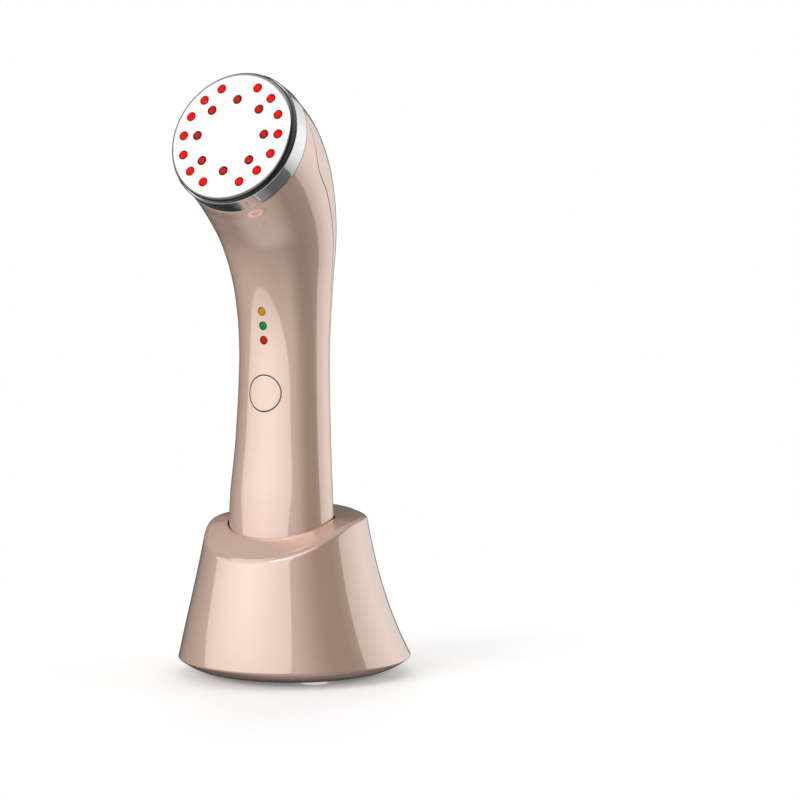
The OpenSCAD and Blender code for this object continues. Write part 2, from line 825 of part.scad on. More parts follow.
// A value round the dock, from its values at the front, the sides and the back.
function round_dock(q, front, side, back) = side + (sin(q) > 0 ? front - side : back - side) * sin(q) ^ 2;

// The rim's bevel, and the rise of the well's mouth above the crease's own height
function bevel_w(q) = round_dock(q, bevel_front, 1.8, bevel_back);
function bevel_h(q) = round_dock(q, 0.8 * bevel_front, 0.8, 0.54 * bevel_back);
function mouth_h(q) = round_dock(q, 0.8 * bevel_front + 1.4, 1.6, 0.54 * bevel_back);

// A ring on the top, in from the bevel's upper edge towards the mouth and down from it.
function top_ring(in_share, down) =
    [for (i = [0:round_steps - 1])
        let (q = 360 * i / round_steps,
            z = rim_top(q),
            r = dock_r(z) - bevel_w(q),
            edge = [r * cos(q), dock_mid_y(z) - r * sin(q)],
            p = mix(edge, well_point(q, mouth_edge), in_share))
        [p[0], p[1], crease_z(p[1]) + mix(bevel_h(q), mouth_h(q), in_share) - down]];

function well_point(q, grow) =
    [(foot_w / 2 + well_gap + grow) * cos(q),
        -foot_ahead - (foot_depth / 2 + well_gap + grow) * sin(q)];

function well_ring(grow, z_of_q) =
    [for (i = [0:round_steps - 1])
        let (q = 360 * i / round_steps, p = well_point(q, grow))
        [p[0], p[1], z_of_q(q)]];

// Height of the mouth's edge at an angle.
mouth_edge = 0.3;

function mouth_z(q) = crease_z(well_point(q, mouth_edge)[1]) + mouth_h(q);

function flat_ring(r, z) =
    [for (i = [0:round_steps - 1]) let (q = 360 * i / round_steps) [r * cos(q), -r * sin(q), z]];

side_rows = 7;
base_open_r = dock_d / 2 - band_in;
inner_low_z = dock_low_z + dock_wall * 0.6;
lip_rise = 0.8;

// Outside of the dock, from its lower edge to the bevel
outside_rings = [
    flat_ring(base_open_r, underside_z),
    for (u = [0, 0.15, 0.45, 0.92])
        flat_ring(base_open_r + 0.4 + (band_in - 0.4) * u ^ 0.6, underside_z + band_h * u),
    for (i = [0:side_rows])
        dock_ring(0, function(q) mix(dock_low_z + 0.2, rim_top(q), i / side_rows)),
    top_ring(0, 0)];

module dock_form() {
    loft(outside_rings);
}

// The base plate closes the dock. Its screws are hidden under the rubber feet.
plate_thick = 2;
plate_top_z = underside_z + plate_thick;
pad_reach = base_open_r - pad_in - pad_d / 2;
pad_seat = 0.8;
pad_seat_z = underside_z + pad_seat;
base_head_d = 4;
base_head_t = 1;
post_d = 6;
post_low_z = pad_seat_z + base_head_t + 1.6;
post_bore = 9;
rib_t = 2;

// Put children at the four rubber feet, turned outwards, or only at the front or back two.
module at_pads(sides = [45:90:315]) {
    for (q = sides) rotate([0, 0, q]) translate([pad_reach, 0, 0]) children();
}

module pad_bores(d, low, high) {
    at_pads() translate([0, 0, low]) cylinder(d = d, h = high - low, $fn = 32);
}

function dock_back_y(z) = dock_mid_y(z) + dock_r(z);
recess_z = usb_z - recess_below;
recess_top_z = usb_z + recess_above;
recess_back_y = dock_back_y(recess_top_z);
recess_wall = 2.2;
usb_w = 7.5;
usb_h = 2.5;

// Two spring pins stand in a block that closes a slot in the well's floor.
pin_mid = [0, -foot_ahead, 0];
slot_end = 4;
slot_w = pin_pitch + 2 * slot_end;
slot_depth = 8;
slot_r = 2;
block_h = 10;
block_ear = 6;
ear_w = slot_w + 2 * block_ear;
ear_screw_t = 1;
block_ear_depth = 10;
block_screw_x = slot_w / 2 + block_ear - 2.6;
block_screw_d = 2;

// The well is a cup of its own, pressed from below into a collar under the mouth.
cup_top = 3;
collar_end = 5.5;
collar_wall = 1.2;

module dock_shell() {
    cup_seat = dock_wall + slip;
    cavity = [
        well_ring(0, function(q) mouth_z(q) - cup_top),
        well_ring(cup_seat, function(q) mouth_z(q) - cup_top),
        well_ring(cup_seat, function(q) mouth_z(q) - collar_end),
        well_ring(cup_seat + collar_wall, function(q) mouth_z(q) - collar_end),
        well_ring(cup_seat + collar_wall, function(q) mouth_z(q) - dock_wall),
        top_ring(0.25, dock_wall),
        for (i = [side_rows:-1:0])
            dock_ring(dock_wall, function(q) mix(inner_low_z, rim_top(q) - dock_wall, i / side_rows)),
        flat_ring(base_open_r + 2 * lip_rise, underside_z + dock_wall + lip_rise),
        flat_ring(base_open_r, underside_z + dock_wall)];
    top = [
        top_ring(0.5, 0),
        top_ring(1, 0),
        well_ring(0, function(q) mouth_z(q) - 0.3)];
    color(rose) in_frame() difference() {
        union() {
            looped_loft([each cavity, each outside_rings, each top]);
            difference() {
                at_pads([225, 315]) translate([0, 0, post_low_z])
                    cylinder(d = post_d, h = well_floor_z - dock_wall - slip - post_low_z, $fn = 32);
                translate(pin_mid + [0, 0, ear_low_z - ear_screw_t - slip])
                    linear_extrude(well_floor_z - dock_wall - ear_low_z + ear_screw_t + slip)
                        rounded_plate(ear_w + 2 * slip, block_ear_depth + 2 * slip, slot_r);
            }
            intersection() {
                dock_form();
                union() {
                    // A rib ties each front post to the dock's wall
                    at_pads([225, 315]) translate([0, -rib_t / 2, post_low_z + base_head_t])
                        cube([dock_d / 2, rib_t, ear_low_z - ear_screw_t - slip - post_low_z - base_head_t]);
                    at_pads([45, 135]) translate([0, 0, post_low_z])
                        cylinder(d = post_d, h = rim_z, $fn = 32);
                    translate([-recess_w / 2 - 2, recess_back_y - recess_wall, recess_z - dock_wall])
                        cube([recess_w + 4, recess_wall + 6, recess_top_z - recess_z + dock_wall + 2]);
                }
            }
        }
        pad_bores(2.1, 0, post_low_z + post_bore);
        translate([-recess_w / 2, recess_back_y, recess_z]) cube([recess_w, 10, 20]);
        translate([0, recess_back_y, usb_z])
            cube([usb_w + 4 * slip, 12, usb_h + 4 * slip], center = true);
    }
}

module dock_well() {
    color(rose) in_frame() difference() {
        loft([
            well_ring(dock_wall, function(q) well_floor_z - dock_wall),
            well_ring(dock_wall, function(q) mouth_z(q) - cup_top - slip),
            well_ring(0, function(q) mouth_z(q) - cup_top - slip),
            well_ring(0, function(q) well_floor_z)]);
        translate(pin_mid) linear_extrude(well_floor_z + 1) rounded_plate(slot_w, slot_depth, slot_r);
        at_block_screws() cylinder(d = block_screw_d + 2 * seam, h = well_floor_z - 0.6, $fn = 32);
    }
}

// The dock's underside

module base_plate() {
    color(black) in_frame() difference() {
        union() {
            translate([0, 0, underside_z]) cylinder(r = base_open_r - slip, h = plate_thick, $fn = 96);
            pad_bores(post_d + 1, underside_z + 1, post_low_z);
            dock_board_posts(5);
        }
        at_pads() translate([0, 0, underside_z - 1]) cylinder(d = pad_d + slip, h = 1 + pad_seat, $fn = 48);
        pad_bores(2.4, 0, post_low_z + 1);
        pad_bores(base_head_d + 4 * slip, 0, pad_seat_z + base_head_t + slip);
    }
}

module dock_feet() {
    color([0.93, 0.93, 0.92]) in_frame() at_pads()
        rotate_extrude($fn = 48) polygon([[0, 0], [pad_d / 2 - 0.4, 0], [pad_d / 2, 0.4],
            [pad_d / 2, pad_seat_z], [0, pad_seat_z]]);
}

module base_screws() {
    low = pad_seat_z + slip;
    color(steel) in_frame() {
        pad_bores(base_head_d, low, low + base_head_t);
        pad_bores(2, low, post_low_z + post_bore - 1);
    }
}

// An iron plate between the posts keeps the dock from tipping.
module ballast_plate() {
    w = 2 * (pad_reach * sqrt(0.5) - post_d / 2 - 1.5);
    ahead = foot_ahead + foot_depth / 2 + well_gap + dock_wall;
    color([0.45, 0.46, 0.48]) in_frame() translate([0, 0, plate_top_z]) intersection() {
        cylinder(r = base_open_r - 1, h = ballast_t, $fn = 96);
        translate([0, -ahead / 2, 0]) linear_extrude(ballast_t) rounded_plate(w, 1.2 * ahead, 2);
    }
}

// Charging parts in the dock

pin_tip_z = foot_z + contact_in - seam;
barrel_d = pin_d + 1;
block_low_z = well_floor_z - block_h;
barrel_low_z = block_low_z - 1;
ear_t = 2;
ballast_gap = 1.8;
ear_low_z = well_floor_z - dock_wall - ear_t;
ballast_t = barrel_low_z - plate_top_z - ballast_gap;

module at_pins() {
    for (x = [-1, 1]) translate(pin_mid + [x * pin_pitch / 2, 0, 0]) children();
}

module contact_block() {
    color(black) in_frame() difference() {
        translate(pin_mid) {
            translate([0, 0, block_low_z]) linear_extrude(well_floor_z - block_low_z)
                rounded_plate(slot_w - 2 * slip, slot_depth - 2 * slip, slot_r - slip);
            translate([0, 0, ear_low_z]) linear_extrude(ear_t - seam)
                rounded_plate(ear_w, block_ear_depth, slot_r);
        }
        at_pins() cylinder(d = barrel_d + slip, h = through, $fn = 32);
        at_block_screws() cylinder(d = block_screw_d + 2 * slip, h = through, $fn = 32);
    }
}

module at_block_screws() {
    for (x = [-1, 1]) translate(pin_mid + [x * block_screw_x, 0, 0]) children();
}

module block_screws() {
    color(steel) in_frame() at_block_screws() translate([0, 0, ear_low_z - ear_screw_t]) {
        cylinder(d = 1.7 * block_screw_d, h = ear_screw_t, $fn = 32);
        cylinder(d = block_screw_d, h = ear_screw_t + ear_t + dock_wall / 2, $fn = 32);
    }
}

module pin_barrels() {
    color(gold) in_frame() at_pins() translate([0, 0, barrel_low_z]) difference() {
        cylinder(d = barrel_d, h = well_floor_z - barrel_low_z - 0.2, $fn = 32);
        translate([0, 0, 2]) cylinder(d = pin_d + slip, h = through, $fn = 32);
    }
}

module spring_pin(side) {
    length = 7;
    tip_r = pin_d / 2;
    color(gold) in_frame() translate(pin_mid + [side * pin_pitch / 2, 0, pin_tip_z - length]) {
        cylinder(d = pin_d, h = length - tip_r, $fn = 32);
        translate([0, 0, length - tip_r]) sphere(r = tip_r, $fn = 32);
    }
}

module left_pin() {
    spring_pin(-1);
}

module right_pin() {
    spring_pin(1);
}

// The dock's board and its socket

dock_board_w = 20;
dock_board_top = usb_z - usb_h / 2;
dock_board_back_y = recess_back_y - recess_wall - 0.3;
dock_board_len = 22;
dock_board_mid_y = dock_board_back_y - dock_board_len / 2;

module dock_board_posts(d) {
    for (x = [-1, 1], y = [-8, 2.8])
        translate([x * 7, dock_board_mid_y + y, underside_z + 1])
            cylinder(d = d, h = dock_board_top - board_t - underside_z - 1, $fn = 32);
}

module dock_board() {
    color(board_green) in_frame() translate([0, dock_board_mid_y, dock_board_top - board_t])
        linear_extrude(board_t) rounded_plate(dock_board_w, dock_board_len, 1);
}

module usb_outline(grow) {
    w = usb_w / 2 + grow;
    h = usb_h / 2 + grow;
    cut = 1.1;
    polygon([[-w, h], [-w, cut - h], [cut - w, -h], [w - cut, -h], [w, cut - h], [w, h]]);
}

usb_wall = 0.3;
usb_depth = 5.4;
tongue_w = 3.6;
tongue_t = 0.6;

module usb_socket() {
    color(steel) in_frame() translate([0, recess_back_y + slip, usb_z]) rotate([90, 0, 0]) difference() {
        linear_extrude(usb_depth) usb_outline(0);
        translate([0, 0, -1]) linear_extrude(usb_depth) usb_outline(-usb_wall);
    }
}

// The tongue with the contacts, held by the back of the socket.
module usb_tongue() {
    back_y = recess_back_y + slip - usb_depth + 1;
    color(black) in_frame() translate([-tongue_w / 2, back_y, usb_z + 0.05])
        cube([tongue_w, usb_depth - 1.8, tongue_t]);
}

front_shell();
rear_shell();
head_collar();
face_plate();
led_lenses_inner();
led_lenses_outer();
led_chips();
led_board();
ultrasonic_disc();
electrode_loop();
rear_inlay();
mode_bezel();
mode_button();
mode_plunger();
mode_switch();
mode_board();
power_button();
power_plunger();
power_switch();
indicator_yellow();
indicator_green();
indicator_red();
main_board();
battery();
shell_screws();
foot_cap();
charge_contacts();
dock_shell();
dock_well();
base_plate();
dock_feet();
base_screws();
ballast_plate();
contact_block();
block_screws();
pin_barrels();
left_pin();
right_pin();
dock_board();
usb_socket();
usb_tongue();
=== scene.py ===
import math

import bmesh
import bpy
import numpy as np
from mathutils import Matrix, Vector


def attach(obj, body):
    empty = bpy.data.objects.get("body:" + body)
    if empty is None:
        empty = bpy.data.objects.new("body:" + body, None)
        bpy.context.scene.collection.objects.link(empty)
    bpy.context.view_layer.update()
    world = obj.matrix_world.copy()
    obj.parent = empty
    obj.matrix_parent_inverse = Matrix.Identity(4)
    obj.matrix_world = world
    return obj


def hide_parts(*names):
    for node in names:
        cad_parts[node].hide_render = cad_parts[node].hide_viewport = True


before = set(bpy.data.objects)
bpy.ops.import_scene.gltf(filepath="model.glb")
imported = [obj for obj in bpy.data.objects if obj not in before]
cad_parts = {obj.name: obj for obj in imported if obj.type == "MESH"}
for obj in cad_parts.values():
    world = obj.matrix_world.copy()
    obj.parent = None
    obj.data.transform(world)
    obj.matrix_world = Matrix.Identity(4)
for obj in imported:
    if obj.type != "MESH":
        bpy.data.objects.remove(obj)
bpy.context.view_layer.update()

# Camera
# A long lens, a little below the head's height and 30 degrees to the device's left.
# It stands 850 mm from the dock's axis, which is 4.84 mm behind the frame's origin.
MM = 0.001
AXIS_Y = 4.84146
CAMERA_FAR, CAMERA_HEIGHT = 850, 150.1


def new_object(name, data):
    made = bpy.data.objects.new(name, data)
    bpy.context.scene.collection.objects.link(made)
    return made


def aim(thing, way):
    """Turns an object's own -Z along a direction."""
    thing.rotation_mode = "QUATERNION"
    thing.rotation_quaternion = way.to_track_quat("-Z", "Y")


camera_azimuth, camera_yaw, camera_pitch = (math.radians(a) for a in (29.5936, -2.4316, 3.8557))
camera = new_object("camera", bpy.data.cameras.new("camera"))
camera.data.lens, camera.data.sensor_width = 112.5, 36
camera.data.clip_start, camera.data.clip_end = 0.05, 20
camera.location = Vector((CAMERA_FAR * math.sin(camera_azimuth),
                          AXIS_Y - CAMERA_FAR * math.cos(camera_azimuth), CAMERA_HEIGHT)) * MM
turn = camera_azimuth + camera_yaw
aim(camera, Vector((-math.sin(turn) * math.cos(camera_pitch),
                    math.cos(turn) * math.cos(camera_pitch), -math.sin(camera_pitch))))
bpy.context.scene.camera = camera

# Studio
# A white room with four soft lamps and a pale floor that keeps the dock's shadow. A tent
# that only reflections see gives the lacquer and the chrome their bands.
scene = bpy.context.scene
scene.view_settings.view_transform = "Standard"


def cleared(holder):
    """The node tree of a material or a world, emptied."""
    holder.use_nodes = True
    holder.node_tree.nodes.clear()
    return holder.node_tree


def feed(tree, socket, value):
    """Gives an input a plain value, another node's socket, or a node's first output."""
    if isinstance(value, bpy.types.Node):
        value = value.outputs[0]
    if isinstance(value, bpy.types.NodeSocket):
        tree.links.new(value, socket)
    else:
        socket.default_value = value


def node(tree, kind, *given, **values):
    """A node, its first inputs fed in order, the others and its properties by name."""
    made = tree.nodes.new(kind)
    own = {name: value for name, value in values.items() if hasattr(made, name)}
    for name, value in own.items():
        setattr(made, name, value)
    for socket, value in zip(made.inputs, given):
        feed(tree, socket, value)
    for name, value in values.items():
        if name not in own:
            feed(tree, made.inputs[name.replace("_", " ")], value)
    return made


def maths(tree, operation, *given):
    return node(tree, "ShaderNodeMath", *given, operation=operation)


def end_in(tree, shader, output="ShaderNodeOutputMaterial"):
    node(tree, output, Surface=shader)


ROOM_LIGHT = 0.45
world = bpy.data.worlds.new("white_room")
scene.world = world
tree = cleared(world)
rays = node(tree, "ShaderNodeLightPath").outputs
seen = maths(tree, "ADD", maths(tree, "ADD", rays["Is Camera Ray"], rays["Is Glossy Ray"]),
             rays["Is Transmission Ray"])
seen.use_clamp = True
room_level = node(tree, "ShaderNodeMapRange", seen, To_Min=ROOM_LIGHT, To_Max=1.0)
room = node(tree, "ShaderNodeBackground", Color=(1, 1, 1, 1), Strength=room_level)
end_in(tree, room, "ShaderNodeOutputWorld")


def mesh_from(name, bm):
    mesh = bpy.data.meshes.new(name)
    bm.to_mesh(mesh)
    bm.free()
    return mesh


def new_material(name):
    mat = bpy.data.materials.new(name)
    return mat, cleared(mat)


def place_in(tree):
    return node(tree, "ShaderNodeTexCoord").outputs["Object"]


def eased(tree, share, start, end, low, high):
    """A level that goes softly from low to high as the share goes from start to end."""
    return node(tree, "ShaderNodeMapRange", share, start, end, low, high,
                interpolation_type="SMOOTHSTEP")


# The floor keeps a shadow near the dock and fades into the white room further out
FLOOR_R, SHADOW_NEAR, SHADOW_FAR = 3.0, 0.09, 0.26
FLOOR_WHITE, FLOOR_LIFT, FLOOR_BOUNCE = 0.97, 0.19, 0.5
bm = bmesh.new()
bmesh.ops.create_circle(bm, cap_ends=True, segments=96, radius=FLOOR_R)
floor = new_object("floor", mesh_from("floor", bm))
floor_mat, tree = new_material("white_floor")
away = node(tree, "ShaderNodeVectorMath", place_in(tree), operation="LENGTH").outputs["Value"]
near = node(tree, "ShaderNodeAddShader",
            node(tree, "ShaderNodeBsdfDiffuse", Color=(FLOOR_WHITE,) * 3 + (1,)),
            node(tree, "ShaderNodeEmission", Color=(1, 1, 1, 1), Strength=FLOOR_LIFT))
plain = node(tree, "ShaderNodeEmission", Color=(1, 1, 1, 1), Strength=1.0)
far = node(tree, "ShaderNodeMixShader", eased(tree, away, SHADOW_NEAR, SHADOW_FAR, 0, 1),
           near, plain)
bounce = node(tree, "ShaderNodeBsdfDiffuse", Color=(FLOOR_BOUNCE,) * 3 + (1,))
end_in(tree, node(tree, "ShaderNodeMixShader",
                  node(tree, "ShaderNodeLightPath").outputs["Is Camera Ray"], bounce, far))
floor.data.materials.append(floor_mat)
floor.visible_glossy = False

# Large lamps round the device, facing its middle: azimuth, height, distance, width, how
# tall, and power. What glossy pieces show of them is painted on the tent
DEVICE_MIDDLE = Vector((0, 0, 0.1))
soft_boxes = {"key_box": (-20, 0.5, 1.2, 1.0, 0.9, 9), "fill_box": (118, 0.4, 1.2, 0.7, 0.9, 4.5),
              "back_box": (205, 0.42, 1.2, 1.2, 0.7, 8), "top_box": (30, 1.3, 0.1, 0.8, 0.8, 1.2)}
for name, (azimuth, height, distance, wide, tall, power) in soft_boxes.items():
    lamp = bpy.data.lights.new(name, "AREA")
    lamp.shape, lamp.size, lamp.size_y, lamp.energy = "RECTANGLE", wide, tall, power
    holder = new_object(name, lamp)
    holder.visible_glossy = False
    a = math.radians(azimuth)
    holder.location = (distance * math.sin(a), -distance * math.cos(a), height)
    aim(holder, DEVICE_MIDDLE - Vector(holder.location))


def tones(tree, share, *stops):
    """Colours or grey levels along a share, from two or more places and their tones."""
    ramp = node(tree, "ShaderNodeValToRGB", share)
    elements = ramp.color_ramp.elements
    for number, (at, tone) in enumerate(stops):
        stop = elements[number] if number < 2 else elements.new(at)
        stop.position, stop.color = at, (*(tone if isinstance(tone, tuple) else (tone,) * 3), 1)
    return ramp


# The tent's wall by azimuth, and the round boxes behind it: azimuth, rise, half width,
# half height, and their light in the middle and at the edge
tent_wall = [(-180, 0.24), (-167, 0.24), (-158, 0.07), (-130, 0.07), (-116, 0.12), (-96, 0.15),
             (-80, 0.26), (-60, 0.36), (-20, 0.42), (18, 0.44), (33, 0.46), (42, 0.36), (55, 0.14),
             (68, 0.01), (90, 0.01), (104, 0.14), (130, 0.24), (180, 0.24)]
tent_boxes = [(-23, 20, 57, 46, 0.92, 0.45), (149, 6, 45, 36, 0.75, 0.45),
              (-211, 6, 45, 36, 0.75, 0.45), (22, 60, 40, 20, 1.0, 0.8),
              (-112, 56, 30, 30, 0.25, 0.12)]
TENT_R, LOW_SHARE, HAZE, ROOF = 1.6, 0.45, 0.46, 0.3
DEGREES = 180 / math.pi
bm = bmesh.new()
bmesh.ops.create_uvsphere(bm, u_segments=48, v_segments=24, radius=TENT_R)
bmesh.ops.translate(bm, verts=bm.verts, vec=DEVICE_MIDDLE)
tent = new_object("light_tent", mesh_from("light_tent", bm))
tent.visible_camera = tent.visible_diffuse = False
tent.visible_shadow = tent.visible_transmission = False
tent_mat, tree = new_material("tent_cloth")
middle = node(tree, "ShaderNodeVectorMath", place_in(tree), DEVICE_MIDDLE, operation="SUBTRACT")
way = node(tree, "ShaderNodeSeparateXYZ",
           node(tree, "ShaderNodeVectorMath", middle, operation="NORMALIZE")).outputs
azimuth = maths(tree, "ARCTAN2", way["X"], maths(tree, "MULTIPLY", way["Y"], -1))
rise = maths(tree, "ARCSINE", way["Z"])
share = node(tree, "ShaderNodeMapRange", azimuth, -math.pi, math.pi)
light = tones(tree, share, *(((angle + 180) / 360, level) for angle, level in tent_wall))
for box_way, box_rise, half_wide, half_tall, at_middle, at_edge in tent_boxes:
    beside = maths(tree, "MULTIPLY_ADD", azimuth, DEGREES / half_wide, -box_way / half_wide)
    above = maths(tree, "MULTIPLY_ADD", rise, DEGREES / half_tall, -box_rise / half_tall)
    reach = node(tree, "ShaderNodeVectorMath", node(tree, "ShaderNodeCombineXYZ", beside, above),
                 operation="LENGTH").outputs["Value"]
    light = maths(tree, "ADD", light,
                  tones(tree, reach, (0.1, at_middle), (0.97, at_edge), (1, 0)))
# Low down the wall dims, a haze stands for the floor, and the roof is even
light = maths(tree, "MULTIPLY", light,
              eased(tree, rise, math.radians(-40), math.radians(-6), LOW_SHARE, 1))
light = maths(tree, "MAXIMUM", light,
              eased(tree, rise, math.radians(-82), math.radians(-40), HAZE, 0))
level = node(tree, "ShaderNodeMix", A=light, B=ROOF,
             Factor=eased(tree, rise, math.radians(50), math.radians(78), 0, 1))
end_in(tree, node(tree, "ShaderNodeEmission", Color=(1.0, 0.985, 0.97, 1), Strength=level))
tent.data.materials.append(tent_mat)

# Front shell
# The front half of the lofted handset, a moulded shell 2.4 mm thick in rose pearl
# lacquer. It has a bore for the power button and three for the indicators.
FOOT_Z, WAIST_Z, FACE_Z, FACE_AHEAD, HEAD_LEN, COLLAR_R = 24.1, 110.0, 181.3, 41.2, 8.9, 23.3
FACE_TILT = math.radians(21.5)
RIM_AHEAD = FACE_AHEAD - HEAD_LEN * math.cos(FACE_TILT)
RIM_Z = FACE_Z - HEAD_LEN * math.sin(FACE_TILT)
SHELL_WALL, GRIP_AHEAD, WAIST_AHEAD, NECK_LEAN = 2.4, 9.0, 6.4, 68.5
foot_size, waist_size = np.array([18.7, 14.5, 14.5]), np.array([15.8, 13.5, 13.5])
rim_size = np.full(3, COLLAR_R)
neck_swell, head_swell = np.array([0, 1.2, 0.4]), np.array([0, 0, 0.9])


def mix(a, b, share):
    return a + (b - a) * share


def spots(*parts):
    """Points from their coordinates, each a number or an array."""
    return np.stack(np.broadcast_arrays(*parts), -1)


def round_angles(count):
    return np.arange(count) * 2 * math.pi / count


def grip_station(reach, height, share, seam):
    return [-mix(GRIP_AHEAD, WAIST_AHEAD, reach), mix(FOOT_Z, WAIST_Z, height), 0,
            *mix(foot_size, waist_size, share), seam]


def neck_station(reach, height, share, lean, swell, seam):
    return [-mix(WAIST_AHEAD, RIM_AHEAD, reach), mix(WAIST_Z, RIM_Z, height), lean * NECK_LEAN,
            *(mix(waist_size, rim_size, share) + swell), seam]


# Sections from the foot to the head's rim: place, height, lean, half width, depth to the
# front and back, and how far round the seam sits behind the widest line
stations = np.array([
    grip_station(0, 0, 0, 12), grip_station(0, 0.21, 0, 12), grip_station(0.04, 0.42, 0.13, 12),
    grip_station(0.6, 0.674, 0.68, 13), neck_station(0, 0, 0, 0, neck_swell / 4, 13),
    neck_station(0.015, 0.309, 0.15, 0.044, neck_swell, 12),
    neck_station(0.136, 0.558, 0.5, 0.219, head_swell, 8),
    neck_station(0.377, 0.764, 0.8, 0.496, head_swell, 2),
    neck_station(0.671, 0.908, 0.96, 0.788, head_swell / 2, 0),
    neck_station(1, 1, 1, 1, 0 * head_swell, 28)])
RIM_S = len(stations) - 1.0


def along(rows, s):
    """Rows between the rows of a table, on a smooth curve through all of them."""
    s = np.asarray(s, float)
    last = len(rows) - 1
    i = np.clip(np.floor(s).astype(int), 0, last - 1)
    t = (s - i)[..., None]
    b, c = rows[i], rows[i + 1]
    a = np.where((i > 0)[..., None], rows[np.maximum(i - 1, 0)], 2 * b - c)
    d = np.where((i < last - 1)[..., None], rows[np.minimum(i + 2, last)], 2 * c - b)
    bent = (2 * a - 5 * b + 4 * c - d) + t * (3 * b - a - 3 * c + d)
    return b + 0.5 * t * ((c - a) + t * bent)


def skin(s, q, inset=0.0, sunk=0.0):
    """Points of the handset: s along it and q round it from +X over the front. inset makes
    the sections smaller, sunk moves in square to them."""
    s, q = np.broadcast_arrays(np.asarray(s, float), np.asarray(q, float))
    row = along(stations, s)
    w = row[..., 3] - inset
    d = np.where(np.sin(q) > 0, row[..., 4], row[..., 5]) - inset
    nx, nv = np.cos(q) / w, -np.sin(q) / d
    size = np.hypot(nx, nv)
    x = w * np.cos(q) - sunk * nx / size
    v = -d * np.sin(q) - sunk * nv / size
    lean = np.radians(row[..., 2])
    return spots(x, row[..., 0] + v * np.cos(lean), row[..., 1] + v * np.sin(lean))


def unit(v):
    return v / np.maximum(np.linalg.norm(v, axis=-1, keepdims=True), 1e-12)


def skin_ways(s, q, inset=0.0):
    """Directions along the skin, round it and out of it."""
    up = unit(skin(s + 2e-3, q, inset) - skin(s - 2e-3, q, inset))
    out = unit(np.cross(up, skin(s, q + 1e-3, inset) - skin(s, q - 1e-3, inset)))
    return up, np.cross(out, up), out


def on_skin(side, across, z, inset=0.0):
    """The s and q of a point, by its distance from the middle plane and its height."""
    across, z = np.broadcast_arrays(np.asarray(across, float), np.asarray(z, float))
    low, high = np.zeros(across.shape), np.full(across.shape, RIM_S)
    for _ in range(36):
        mid = (low + high) / 2
        row = along(stations, mid)
        w, d = row[..., 3] - inset, row[..., 4 if side < 0 else 5] - inset
        rise = np.sqrt(np.maximum(0, 1 - (across / w) ** 2))
        below = row[..., 1] + side * d * rise * np.sin(np.radians(row[..., 2])) < z
        low, high = np.where(below, mid, low), np.where(below, high, mid)
    w = along(stations, mid)[..., 3] - inset
    q = np.arccos(np.clip(across / w, -1, 1))
    return mid, q if side < 0 else 2 * math.pi - q


class Moulding:
    """A piece as it grows: points in mm, the way each one faces, and faces."""

    def __init__(self):
        self.points, self.ways, self.faces, self.count = [], [], [], 0

    def add(self, points, ways):
        points = np.asarray(points, float)
        ids = np.arange(self.count, self.count + points[..., 0].size).reshape(points.shape[:-1])
        self.points.append(points.reshape(-1, 3))
        self.ways.append(np.broadcast_to(ways, points.shape).reshape(-1, 3))
        self.count += ids.size
        return ids

    def grid(self, ids, keep=None):
        """Faces of a grid of points, without the cells that keep leaves out."""
        cells = np.stack([ids[:-1, :-1], ids[1:, :-1], ids[1:, 1:], ids[:-1, 1:]], -1)
        self.faces.extend((cells.reshape(-1, 4) if keep is None else cells[keep]).tolist())

    def bands(self, loops):
        """Faces between closed loops of equal length."""
        self.grid(np.stack([np.append(loop, loop[0]) for loop in loops]))

    def cap(self, loop, point, way):
        """A fan of faces from a closed loop to one point."""
        middle = int(self.add(np.array([point]), way)[0])
        loop = loop.tolist()
        self.faces.extend([a, b, middle] for a, b in zip(loop, loop[1:] + loop[:1]))

    def tube(self, rings, way, ends=None):
        """Rings joined one to the next, closed on themselves or capped at two points, each
        given with the way it faces."""
        ids = self.add(np.stack(rings), way)
        self.bands(list(ids) + ([] if ends else [ids[0]]))
        for loop, (point, out) in zip((ids[0], ids[-1]), ends or ()):
            self.cap(loop, point, out)

    def piece(self, name, sharp=None):
        """The Blender object, with faces turned outwards. Its normals are the known ways,
        or even up to a sharp angle between faces."""
        mesh = bpy.data.meshes.new(name)
        points = np.concatenate(self.points) + [0, AXIS_Y, 0]
        mesh.from_pydata((points * MM).tolist(), [], self.faces)
        bm = bmesh.new()
        bm.from_mesh(mesh)
        bmesh.ops.recalc_face_normals(bm, faces=bm.faces)
        bm.to_mesh(mesh)
        bm.free()
        mesh.shade_smooth()
        if sharp:
            mesh.set_sharp_from_angle(angle=math.radians(sharp))
        else:
            mesh.normals_split_custom_set_from_vertices(unit(np.concatenate(self.ways)).tolist())
        return new_object(name, mesh)


def grid_border(rows, cols):
    """Indices round a grid: along its foot, up its far side, back and down."""
    foot = [(0, j) for j in range(cols)]
    far = [(i, cols - 1) for i in range(1, rows)]
    top = [(rows - 1, j) for j in range(cols - 2, -1, -1)]
    near_side = [(i, 0) for i in range(rows - 2, 0, -1)]
    return np.array(foot + far + top + near_side).T


LIP, SEAM_LIP, GAP = 0.12, 0.27, 0.11
# How near a rounded edge's middle row lies to its corner: 0 is sharp and 0.5 is a bevel
ROUNDING = 0.293


def rolled(corner, n, m, lip=LIP):
    """The three rows of a small rounded edge: on the face, on the corner, on the side."""
    on_face, on_side = corner - lip * m, corner - lip * n
    middle = corner + ROUNDING * ((on_face - corner) + (on_side - corner))
    return on_face, middle, on_side


